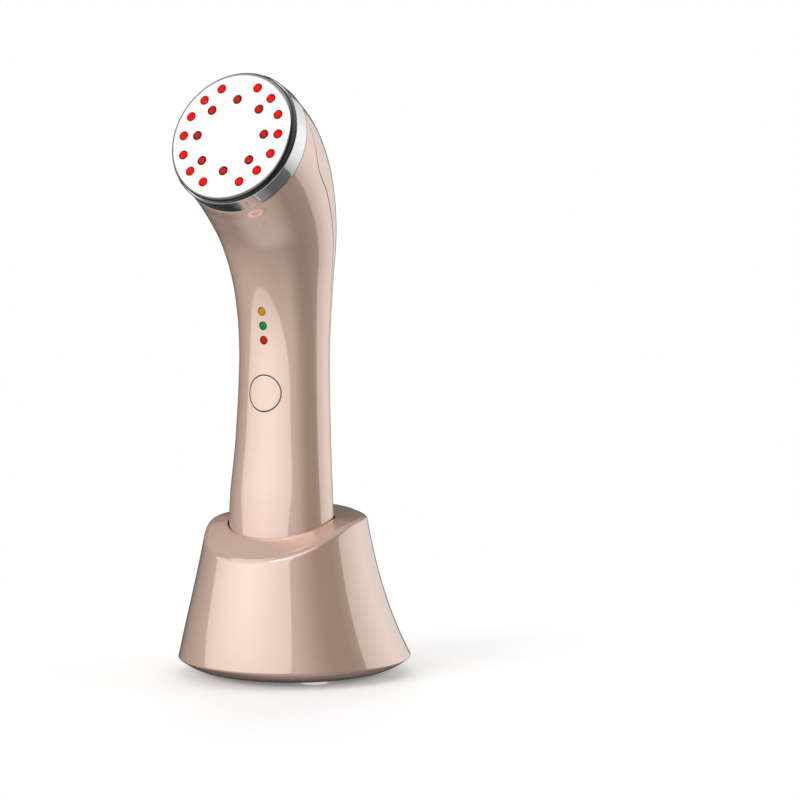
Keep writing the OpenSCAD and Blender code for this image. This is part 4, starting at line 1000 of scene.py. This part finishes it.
def small_part(name, profile, steps=32, mark=None):
    """A little turned part at the origin, along +Z, from radii and heights in mm. mark
    keeps each point's distance from its own axis for the material to read."""
    bm = bmesh.new()
    rings, radii = [], []
    for r, z in profile:
        count = steps if r > 0 else 1
        rings.append([bm.verts.new((r * math.cos(2 * math.pi * k / steps) * MM,
                                    r * math.sin(2 * math.pi * k / steps) * MM, z * MM))
                      for k in range(count)])
        radii += [r * MM] * count
    for a, b in zip(rings, rings[1:]):
        for k in range(steps):
            n = (k + 1) % steps
            if len(a) == 1:
                bm.faces.new((a[0], b[k], b[n]))
            elif len(b) == 1:
                bm.faces.new((a[n], a[k], b[0]))
            else:
                bm.faces.new((a[k], b[k], b[n], a[n]))
    bmesh.ops.recalc_face_normals(bm, faces=bm.faces)
    mesh = mesh_from(name, bm)
    mesh.shade_smooth()
    mesh.set_sharp_from_angle(angle=math.radians(45))
    if mark:
        mesh.attributes.new(mark, "FLOAT", "POINT").data.foreach_set("value", radii)
    return new_object(name, mesh)


def baked(thing):
    """The mesh of an object as its modifiers leave it. They are taken off."""
    depsgraph = bpy.context.evaluated_depsgraph_get()
    mesh = bpy.data.meshes.new_from_object(thing.evaluated_get(depsgraph),
                                           preserve_all_data_layers=True, depsgraph=depsgraph)
    thing.modifiers.clear()
    return mesh


def repeated(name, source, tree, **values):
    """The mesh of a part as its tree repeats it, as a new object at the origin."""
    repeat = source.modifiers.new("repeat", "NODES")
    repeat.node_group = tree
    for item in tree.interface.items_tree:
        label = item.name.replace(" ", "_")
        if item.in_out == "INPUT" and label in values:
            repeat[item.identifier] = values[label]
    mesh = baked(source)
    mesh.name = name
    return new_object(name, mesh)


def drop(*objects):
    for thing in objects:
        bpy.data.objects.remove(thing)


def joined(name, *objects):
    """One object from several, all at the origin."""
    bm = bmesh.new()
    for thing in objects:
        bm.from_mesh(thing.data)
    drop(*objects)
    return new_object(name, mesh_from(name, bm))


face_centre = tuple((face_spot + [0, AXIS_Y, 0]) * MM)
face_lean = math.pi / 2 - FACE_TILT


def ring_of(radius, count, first, step, gap_every=100, gap_from=1):
    """What a ring's tree is given on the head's face: radius in mm, angles in turns."""
    return {"Ring_radius": radius * MM, "Count": count, "First_angle": first * 2 * math.pi,
            "Step_angle": step * 2 * math.pi, "Gap_every": gap_every, "Gap_from": gap_from,
            "Lean": face_lean, "Centre": face_centre}


inner_ring = ring_of(INNER_RING_R, 8, 1 / 4, 1 / 8)
outer_ring = ring_of(OUTER_RING_R, 16, 1 / 4, 1 / 16, 8, 0)
cutter_tree = ring_tree("light_holes", polished_chrome)
hole_r = LED_D / 2 + 0.05
cutter = small_part("hole_cutter", [
    (0, 1), (hole_r + 0.3, 1), (hole_r + 0.3, 0.18), (hole_r + 0.12, 0), (hole_r, -0.12),
    (hole_r, -PLATE_T - 1), (0, -PLATE_T - 1)])
cutters = joined("hole_cutters", repeated("a", cutter, cutter_tree, **inner_ring),
                 repeated("b", cutter, cutter_tree, **outer_ring))
cut = face_plate.modifiers.new("light_holes", "BOOLEAN")
cut.operation, cut.solver, cut.object = "DIFFERENCE", "EXACT", cutters
face_plate.data = baked(face_plate)
face_plate.data.shade_smooth()
face_plate.data.set_sharp_from_angle(angle=math.radians(35))
drop(cutters, cutter)
finish_piece(hard(face_plate, 90), chrome("polished_face", (0.95, 0.955, 0.96), 0.03), "handset",
             "polished_chrome", "face_plate")

# Head collar
# The chromed ring between the face plate and the shells' rim. It stands a little clear
# of the plate and is pressed into the shells by its sleeve.
GROOVE = 0.3
collar_z = -FLANGE_END - GROOVE
front_r = (PLATE_R + COLLAR_R) / 2 + 0.1
sleeve_r = COLLAR_R - SHELL_WALL - 0.6
sleeve_in = SKIRT_R - SKIRT_WALL - 0.8
profile = [(SKIRT_R + SLIP, collar_z - 0.35), (front_r - 0.3, collar_z - 0.35),
           (front_r - 0.2, collar_z - 0.16), (front_r - 0.1, collar_z - 0.13),
           (front_r - 0.03, collar_z - 0.18), (front_r, collar_z - 0.3)]
profile += [(mix(front_r, COLLAR_R, k), mix(collar_z - 0.3, 0.3 - HEAD_LEN, k))
            for k in (0.25, 0.5, 0.75)]
profile += [(COLLAR_R, 0.3 - HEAD_LEN), (COLLAR_R - 0.09, 0.09 - HEAD_LEN),
            (COLLAR_R - 0.3, -HEAD_LEN), (sleeve_r, -HEAD_LEN), (sleeve_r, -HEAD_LEN - 1.5),
            (sleeve_in, -HEAD_LEN - 1.5), (sleeve_in, -SKIRT_END), (SKIRT_R + SLIP, -SKIRT_END)]
finish_piece(hard(turned("head_collar_chromed", profile)), polished_chrome, "handset",
             "polished_chrome", "head_collar")

# Black groove ring
# A black moulded ring in the gap between the face plate's rim and the collar. Its black
# stands in as painted shade for that groove. Its front edge is bevelled.
def surface(name, colour, rough, metallic=0.0, grain=400.0, vary=0.12, bump=0.1, depth=0.00005,
            stretch=(1, 1, 1), **more):
    """A material with its own grain: colour, dullness and relief all vary a little."""
    mat, tree = new_material(name)
    scale = node(tree, "ShaderNodeMapping", place_in(tree), Scale=stretch)
    fine = node(tree, "ShaderNodeTexNoise", Vector=scale, Scale=grain, Detail=6.0)
    broad = node(tree, "ShaderNodeTexNoise", Vector=scale, Scale=grain / 12, Detail=3.0)
    tint = tones(tree, broad, (0.3, times(colour, 1 - vary)), (0.7, times(colour, 1 + vary)))
    shader = node(tree, "ShaderNodeBsdfPrincipled", Base_Color=tint, Metallic=metallic, **more)
    worn(tree, shader, fine, (0.3, 0.7, max(0, rough - 0.06), rough + 0.06), fine, bump, depth)
    return mat


# The ring's black is painted shade in the groove round the plate.
black_seal = surface("black_seal", (0.006, 0.006, 0.0065), 0.32, grain=700, vary=0.2, bump=0.08)
ring_r = PLATE_R - 0.12
profile = [(SKIRT_R + 0.05, -1.05), (ring_r - 0.22, -1.05), (ring_r - 0.12, -1.1), (ring_r, -1.35),
           (ring_r, collar_z - 0.2), (ring_r - 0.1, collar_z - 0.3),
           (SKIRT_R + 0.05, collar_z - 0.3)]
finish_piece(hard(turned("plate_seal_ring", profile)), black_seal, "handset", "black_plastic")

# Lights
# Twenty-two red lenses behind the plate, in two rings: fourteen outside, in two arcs, and
# eight inside. Each is cast in tinted resin with a domed end and a flange under the plate.
def ruby(name, core, rim, glow):
    """Tinted resin lit from behind: a painted glow, bright in the middle and darker towards its
    rim.
    """
    mat, tree = new_material(name)
    from_axis = node(tree, "ShaderNodeAttribute", attribute_name="from_axis").outputs["Fac"]
    tint = tones(tree, eased(tree, from_axis, 0.0006, 0.00145, 0, 1), (0, core), (1, rim))
    cloud = noise(tree, 900.0, 2.0)
    shader = node(tree, "ShaderNodeBsdfPrincipled", IOR=1.5, Specular_IOR_Level=0.1,
                  Base_Color=tint, Emission_Color=tint, Emission_Strength=glow)
    worn(tree, shader, cloud, (0, 1, 0.15, 0.3), cloud, 0.05)
    return mat


lens_r = LED_D / 2
lens_profile = [(0, 0.2), (0.45, 0.18), (0.85, 0.12), (1.15, 0.03), (1.35, -0.08), (lens_r, -0.25),
                (lens_r, -PLATE_T), (lens_r + 0.3, -PLATE_T), (lens_r + 0.3, -PLATE_T - 1),
                (0, -PLATE_T - 1)]
for place, ring, core, rim, glow in (
        ("outer", outer_ring, (0.9, 0.004, 0.0), (0.5, 0.0, 0.0), 0.25),
        ("inner", inner_ring, (0.62, 0.012, 0.004), (0.2, 0.0, 0.0), 0.15)):
    mat = ruby("ruby_" + place, core, rim, glow)
    lens = small_part("lens", lens_profile, mark="from_axis")
    lens_tree = ring_tree("lenses_%s_ring" % place, mat)
    lenses = repeated("lenses_%s_cast" % place, lens, lens_tree, **ring)
    drop(lens)
    finish_piece(lenses, mat, "handset", "red_lens", "led_lenses_" + place)

# Lit head's inside
# A glass-fibre board with a chip behind each lens, and the ultrasonic disc, a fired
# ceramic wafer glued to the back of the face plate.
def shader_of(mat):
    return next(n for n in mat.node_tree.nodes if n.type == "BSDF_PRINCIPLED")


def circuit(name):
    """Green solder mask with copper tracks just under it."""
    mat = surface(name, (0.015, 0.12, 0.05), 0.35, grain=600, vary=0.2, Coat_Weight=0.5)
    tree = mat.node_tree
    tracks = node(tree, "ShaderNodeTexBrick", Vector=place_in(tree), Scale=420.0, Mortar_Size=0.09,
                  Brick_Width=0.9, Row_Height=0.35, offset=0.37, Color1=(0.012, 0.10, 0.045, 1),
                  Color2=(0.015, 0.12, 0.05, 1), Mortar=(0.05, 0.25, 0.09, 1))
    feed(tree, shader_of(mat).inputs["Base Color"], tracks)
    return mat


def dress(material, *names):
    """Gives a material to pieces whose solids stay as they are."""
    for name in names:
        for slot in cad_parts[name].material_slots:
            slot.material = material


board_green = circuit("circuit_board")
dress(board_green, "led_board")
dress(surface("chip_resin", (0.85, 0.82, 0.6), 0.3, grain=900), "led_chips")
dress(surface("fired_ceramic", (0.62, 0.56, 0.42), 0.6, grain=700, bump=0.2), "ultrasonic_disc")

# Grip's inside
# The main board stands upright behind the power button's switch, with the battery in
# its sleeve behind it. Two steel screws under the inlay pull the shells together.
black_plastic = surface("black_plastic", (0.02, 0.02, 0.021), 0.45, grain=900, vary=0.2, bump=0.15)
plated_steel = surface("plated_steel", (0.72, 0.73, 0.75), 0.28, metallic=1.0, grain=500,
                       vary=0.05, bump=0.05, stretch=(1, 1, 6))
dress(board_green, "main_board", "mode_board")
dress(black_plastic, "power_plunger", "mode_plunger")
dress(plated_steel, "power_switch", "mode_switch", "shell_screws")
dress(surface("battery_sleeve", (0.22, 0.33, 0.5), 0.35, grain=200, vary=0.15, Coat_Weight=0.3),
      "battery")

# Grip's foot
# A black moulded cap closes the shells, with two gold-plated contacts sunk in it.
gold = surface("gold_contact", (0.83, 0.6, 0.24), 0.2, metallic=1.0, grain=800, vary=0.06,
               bump=0.04)
dress(black_plastic, "foot_cap")
dress(gold, "charge_contacts")

# Dock shell
# The flared stand, moulded 2.4 mm thick and lacquered like the handset. Its rim has a
# bevel that widens to the back, and its top is a saddle that rises to the well's mouth.
LOW_Z, RIM_Z0, BASE_R, BASE_OPEN_R, UNDER_Z, BAND_H, WALL = 5.4, 54.1, 39.8, 30.0, 1.2, 4.2, 2.4
TAPER, FLARE, TOP_AHEAD = 12.8, 4.7, 4.8
SADDLE_Y, SADDLE_R, SADDLE_SLOPE, TOP_SLOPE, TOP_Y = -5, 28, 0.43, 0.06, 22.2
WELL_W, WELL_D, WELL_FLOOR, MOUTH_EDGE, CUP_TOP = 19.1, 14.9, 24.0, 0.3, 3.0
TURNS = 240
dock_q = round_angles(TURNS)


def dock_r(z):
    u = (z - LOW_Z) / (RIM_Z0 - LOW_Z)
    return BASE_R - TAPER * u - FLARE * u * (1 - u)


def dock_mid(z):
    return -TOP_AHEAD * (1 - (1 - (z - LOW_Z) / (RIM_Z0 - LOW_Z)) ** 3)


def crease_z(y):
    """The saddle's height: a slight slope, bent down to the front in an arc, then straight."""
    ahead, arc = SADDLE_Y - y, SADDLE_R * SADDLE_SLOPE
    bent = np.where(ahead < arc, np.maximum(0, ahead) ** 2 / (2 * SADDLE_R),
                    SADDLE_SLOPE * (ahead - arc / 2))
    return RIM_Z0 - TOP_SLOPE * (TOP_Y - y) - bent


def round_dock(front, side, back):
    """A value round the dock, from its values at the front, the sides and the back."""
    return side + np.where(np.sin(dock_q) > 0, front - side, back - side) * np.sin(dock_q) ** 2


rim_top = np.full(TURNS, 50.0)
for _ in range(12):
    rim_top = crease_z(dock_mid(rim_top) - dock_r(rim_top) * np.sin(dock_q))
bevel_w, bevel_h = round_dock(1.4, 1.8, 4.1), round_dock(1.12, 0.8, 2.214)
mouth_h = round_dock(2.52, 1.6, 2.214)


def dock_ring(z, inset=0.0):
    r = dock_r(z) - inset
    return spots(r * np.cos(dock_q), dock_mid(z) - r * np.sin(dock_q), z)


def flat_ring(r, z):
    return spots(r * np.cos(dock_q), -r * np.sin(dock_q), z)


def well_ring(grow, z):
    return spots((WELL_W + grow) * np.cos(dock_q),
                 -GRIP_AHEAD - (WELL_D + grow) * np.sin(dock_q), z)


def top_ring(share, down=0.0):
    r = dock_r(rim_top) - bevel_w
    edge = spots(r * np.cos(dock_q), dock_mid(rim_top) - r * np.sin(dock_q))
    x, y = mix(edge, well_ring(MOUTH_EDGE, 0)[:, :2], share).T
    return spots(x, y, crease_z(y) + mix(bevel_h, mouth_h, share) - down)


mouth_z = crease_z(well_ring(MOUTH_EDGE, 0)[:, 1]) + mouth_h


def bend(before, corner, after, lip, steps=4):
    """Rows of a rounded crease between the rows before and after its corner."""
    a = corner + lip * unit(before - corner)
    b = corner + lip * unit(after - corner)
    return [(1 - t) ** 2 * a + 2 * t * (1 - t) * corner + t * t * b
            for t in np.linspace(0, 1, steps + 1)]


band = [flat_ring(BASE_OPEN_R + 0.4 + 9.4 * u ** 0.6, UNDER_Z + BAND_H * u)
        for u in (0, 0.01, 0.03, 0.07, 0.12, 0.2, 0.3, 0.42, 0.55, 0.68, 0.8, 0.9)]
outside = [flat_ring(BASE_OPEN_R, UNDER_Z)] + band
outside += bend(band[-1], flat_ring(BASE_R, LOW_Z), dock_ring(6.4), 0.45)
side_first = len(outside)
outside += [dock_ring(mix(6.2, rim_top - 1.15, k / 40)) for k in range(41)]
side_last = len(outside)
outside += bend(dock_ring(rim_top - 1), dock_ring(rim_top), top_ring(0), 0.85, 9)
outside += [mix(dock_ring(rim_top), top_ring(0), k) for k in (0.62, 0.7)]
outside += bend(dock_ring(rim_top), top_ring(0), top_ring(0.3), 0.4)
outside += [top_ring(k) for k in (0.1, 0.2, 0.32, 0.44, 0.56, 0.68, 0.8, 0.9)]
outside += bend(top_ring(0.9), well_ring(0, mouth_z), well_ring(0, mouth_z - 1), 0.35)
outside += [well_ring(0, mouth_z - k) for k in (0.6, 1.2, 2.1, CUP_TOP)]
inside = [well_ring(grow, mouth_z - down)
          for grow, down in ((2.5, CUP_TOP), (2.5, 5.5), (3.7, 5.5), (3.7, WALL))]
inside.append(top_ring(0.25, WALL))
inner_first = len(outside) + len(inside)
inside += [dock_ring(mix(rim_top - WALL, 6.84, k / 34), WALL) for k in range(35)]
inside += [flat_ring(31.6, UNDER_Z + WALL + 0.8), flat_ring(BASE_OPEN_R, UNDER_Z + WALL)]
rings = np.stack(outside + inside)

# The recess round the charging socket, cut into the back as a flat-backed notch
RECESS_Z, RECESS_TOP, USB_Z, USB_W, USB_H, RECESS_WALL = 9.4, 16.4, 13.8, 7.5, 2.5, 2.2
RECESS_HALF, RECESS_BACK_HALF = 6.1, 8.1
NOTCH_BELOW, NOTCH_TOP, NOTCH_CELLS, NOTCH_LIP = 1.9, 18.7, 10, 0.22
recess_y = dock_mid(RECESS_TOP) + dock_r(RECESS_TOP)


def dock_back(x, z, inset):
    """A point of the dock's back at a distance from its middle plane and a height."""
    return spots(x, dock_mid(z) + np.sqrt((dock_r(z) - inset) ** 2 - x ** 2), z)


def recess_outline(angle, half, low, plane, inset, grow=0.0):
    """Distance from the middle and height of the notch's outline, at angles round the
    socket. Its top is where the wall comes within a hair of the notch's back."""
    x = np.linspace(-half, half, 61)
    bottom, top = np.full(61, low), np.full(61, 40.0)
    for _ in range(30):
        mid = (bottom + top) / 2
        beyond = dock_back(x, mid, inset)[:, 1] > plane + 0.05
        bottom, top = np.where(beyond, mid, bottom), np.where(beyond, top, mid)
    arch = spots(x, bottom + grow)[::-1]
    line = np.vstack([[half + grow, low - grow], [half + grow, arch[0, 1]], arch,
                      [-half - grow, arch[-1, 1]], [-half - grow, low - grow]])
    return line_at(line, np.array([0, (low + arch[:, 1].max()) / 2]), angle)


def round_slot(angle, w, h, r, spot):
    """A rounded oblong's outline at angles round its middle."""
    ray = spots(np.cos(angle), np.sin(angle))
    low, high = np.zeros(len(angle)), np.full(len(angle), w)
    for _ in range(40):
        mid = (low + high) / 2
        p = abs(ray * mid[:, None]) - np.array([w / 2 - r, h / 2 - r])
        inside_it = np.hypot(*np.maximum(p, 0).T) + np.minimum(p.max(1), 0) < r
        low, high = np.where(inside_it, mid, low), np.where(inside_it, high, mid)
    return spot + ray * low[:, None]


def notch(mould, ids, keep, first, last, half, low, plane, inset):
    """Leaves out the cells behind the notch and fills them: the wall round its outline,
    its sides, and its flat back up to the socket's hole. Returns the hole's points."""
    middle = TURNS * 3 // 4
    rows = [k for k in range(first, last) if low - NOTCH_BELOW < rings[k, middle, 2] < NOTCH_TOP]
    i0, i1, j0, j1 = rows[0], rows[-1], middle - NOTCH_CELLS, middle + NOTCH_CELLS
    keep[i0:i1, j0:j1] = False
    i, j = grid_border(i1 - i0 + 1, j1 - j0 + 1)
    edge = rings[i + i0, j + j0]
    centre_z = recess_outline(np.array([0.0]), half, low, plane, inset)[0, 1]
    angle = np.arctan2(edge[:, 2] - centre_z, edge[:, 0])
    wide = recess_outline(angle, half, low, plane, inset, NOTCH_LIP)
    line = recess_outline(angle, half, low, plane, inset)
    hole = round_slot(angle, USB_W + 0.4, USB_H + 0.4, 0.5, np.array([0, USB_Z]))
    loops = []
    for share in (0.3, 0.6, 0.85, 1.0):
        loops.append(dock_back(*mix(edge[:, [0, 2]], wide, share).T, inset))
    skin_y = dock_back(*line.T, inset)[:, 1]
    roll = np.minimum(0.6 * (skin_y - plane), NOTCH_LIP)
    for share, y in ((0.675, skin_y - 0.08 * roll), (0.225, skin_y - 0.3 * roll), (0, plane)):
        x, z = mix(line, wide, share).T
        loops.append(spots(x, y, z))
    for share in (0.5, 1.0):
        x, z = mix(line, hole, share).T
        loops.append(spots(x, plane, z))
    loops = [ids[i + i0, j + j0]] + [mould.add(loop, [0, 1.0, 0]) for loop in loops]
    mould.bands(loops)
    return loops[-1]


dock_shell = Moulding()
ids = dock_shell.add(rings, [0, 0, 1.0])
keep = np.ones((len(rings), TURNS), bool)
outer_hole = notch(dock_shell, ids, keep, side_first, side_last, RECESS_HALF, RECESS_Z,
                   recess_y, 0.0)
inner_hole = notch(dock_shell, ids, keep, inner_first, len(rings) - 2, RECESS_BACK_HALF,
                   RECESS_Z - WALL, recess_y - RECESS_WALL, WALL)
dock_shell.grid(np.pad(ids, ((0, 1), (0, 1)), mode="wrap"), keep)
dock_shell.bands([outer_hole, inner_hole])

# Four posts take the base screws, the back ones taller under the higher rim
POST_RING_R, POST_R, POST_FOOT, FRONT_TOP, BACK_TOP = 24.0, 3.0, 4.6, 21.4, 33.0
for a in round_angles(4) + math.pi / 4:
    x, y = POST_RING_R * math.cos(a), POST_RING_R * math.sin(a)
    post(dock_shell, [x, y, POST_FOOT], [x, y, FRONT_TOP if y < 0 else BACK_TOP], POST_R)
finish_piece(hard(dock_shell.piece("dock_shell_lacquered", 58), 80), rose_lacquer, "dock",
             "rose_shell", "dock_shell")

# Dock well
# A moulded cup pressed from below into the collar under the mouth. Its floor has a slot
# for the contact block, and a small fillet runs round it.
SLOT_W, SLOT_D, SLOT_CORNER = 20.0, 8.0, 2.0
slot = round_slot(dock_q, SLOT_W, SLOT_D, SLOT_CORNER, np.array([0, 0]))


def slot_ring(z):
    return spots(slot[:, 0], -GRIP_AHEAD - slot[:, 1], z)


cup_rim = mouth_z - CUP_TOP - 0.1
cup = [slot_ring(WELL_FLOOR - WALL), well_ring(-6, WELL_FLOOR - WALL)]
cup += bend(cup[-1], well_ring(WALL, WELL_FLOOR - WALL), well_ring(WALL, WELL_FLOOR), 0.8)
cup += [well_ring(WALL, mix(WELL_FLOOR, cup_rim, k)) for k in (0.25, 0.5, 0.75, 0.96)]
cup += [well_ring(WALL, cup_rim), well_ring(0, cup_rim)]
cup += [well_ring(0, mix(cup_rim, WELL_FLOOR, k)) for k in (0.04, 0.25, 0.5, 0.75, 0.9)]
cup += bend(cup[-1], well_ring(0, WELL_FLOOR), slot_ring(WELL_FLOOR), 0.6)
cup += [mix(well_ring(-0.6, WELL_FLOOR), slot_ring(WELL_FLOOR), k) for k in (0.5, 0.95)]
cup += bend(cup[-1], slot_ring(WELL_FLOOR), slot_ring(WELL_FLOOR - 1), 0.15, 2)
dock_well = Moulding()
dock_well.tube(cup, [0, 0, 1.0])
finish_piece(hard(dock_well.piece("dock_well_moulded", 58), 80), rose_lacquer, "dock",
             "rose_shell", "dock_well")

# Charging contacts in the well
# A black block closes the well's slot from below, held by two screws. Two gold-plated
# spring pins stand in their barrels and just clear the grip's contacts.
dress(black_plastic, "contact_block")
dress(plated_steel, "block_screws")
dress(gold, "pin_barrels", "left_pin", "right_pin")

# Base plate
# A black moulded plate closes the dock, screwed up under the rubber feet. An iron plate
# between its posts keeps the dock from tipping.
dress(black_plastic, "base_plate")
dress(plated_steel, "base_screws")
dress(surface("ballast_iron", (0.16, 0.16, 0.165), 0.5, metallic=1.0, grain=160, vary=0.25,
              bump=0.4, depth=0.0002), "ballast_plate")

# Rubber feet
# Four feet of milky silicone rubber, stuck in the plate's seats over the screws. Geometry
# Nodes repeat one foot round the dock's axis.
def silicone(name):
    """Milky rubber that lets a little light through, with a fine dusty skin. Its glow is painted
    light.
    """
    # The emission is a painted glow that lights the feet in the dock's shadow.
    mat = surface(name, (0.8, 0.8, 0.79), 0.5, grain=1200, vary=0.03, bump=0.2,
                  Subsurface_Weight=0.35, Subsurface_Scale=0.002, IOR=1.41,
                  Emission_Color=(1, 1, 0.98, 1), Emission_Strength=0.4)
    shader_of(mat).inputs["Subsurface Radius"].default_value = (1.0, 0.95, 0.9)
    return mat


rubber = silicone("white_rubber")
foot = small_part("foot", [(0, 0), (3.6, 0), (3.95, 0.03), (4.25, 0.13), (4.45, 0.32), (4.5, 0.6),
                           (4.5, 1.85), (4.35, 2.0), (0, 2.0)], steps=48)
foot_ring = {**ring_of(POST_RING_R, 4, 1 / 8, 1 / 4), "Lean": 0.0, "Centre": (0, AXIS_Y * MM, 0)}
feet = repeated("dock_feet_moulded", foot, ring_tree("feet_ring", rubber), **foot_ring)
drop(foot)
finish_piece(feet, rubber, "dock", "white_rubber", "dock_feet")

# Charging socket
# A folded steel shell with slanted lower corners, soldered on the dock's board behind the
# recess, with a moulded tongue inside that carries the contacts.
dress(board_green, "dock_board")


def socket_ring(grow, y):
    """The shell's outline with bent corners, made larger and at a depth in the recess."""
    w, h, cut = USB_W / 2 + grow, USB_H / 2 + grow, 1.1
    corners = np.array([[-w, h], [-w, cut - h], [cut - w, -h], [w - cut, -h], [w, cut - h],
                        [w, h]])
    line = []
    for k, corner in enumerate(corners):
        line += bend(corners[k - 1], corner, corners[(k + 1) % 6], 0.35 + 0.5 * grow)
    x, z = np.array(line).T
    return spots(x, y, USB_Z + z)


socket = Moulding()
mouth_y = recess_y + 0.05
ids = socket.add(np.stack([socket_ring(grow, mouth_y - back) for grow, back in (
    (0, 5.3), (0, 0.08), (-0.05, 0), (-0.24, 0), (-0.3, 0.08), (-0.3, 4.9))]), [0, 1.0, 0])
socket.bands(list(ids))
socket.faces += [ids[0].tolist(), ids[-1].tolist()]
finish_piece(hard(socket.piece("usb_socket_folded", 40)), plated_steel, "dock", "plated_steel",
             "usb_socket")
dress(black_plastic, "usb_tongue")
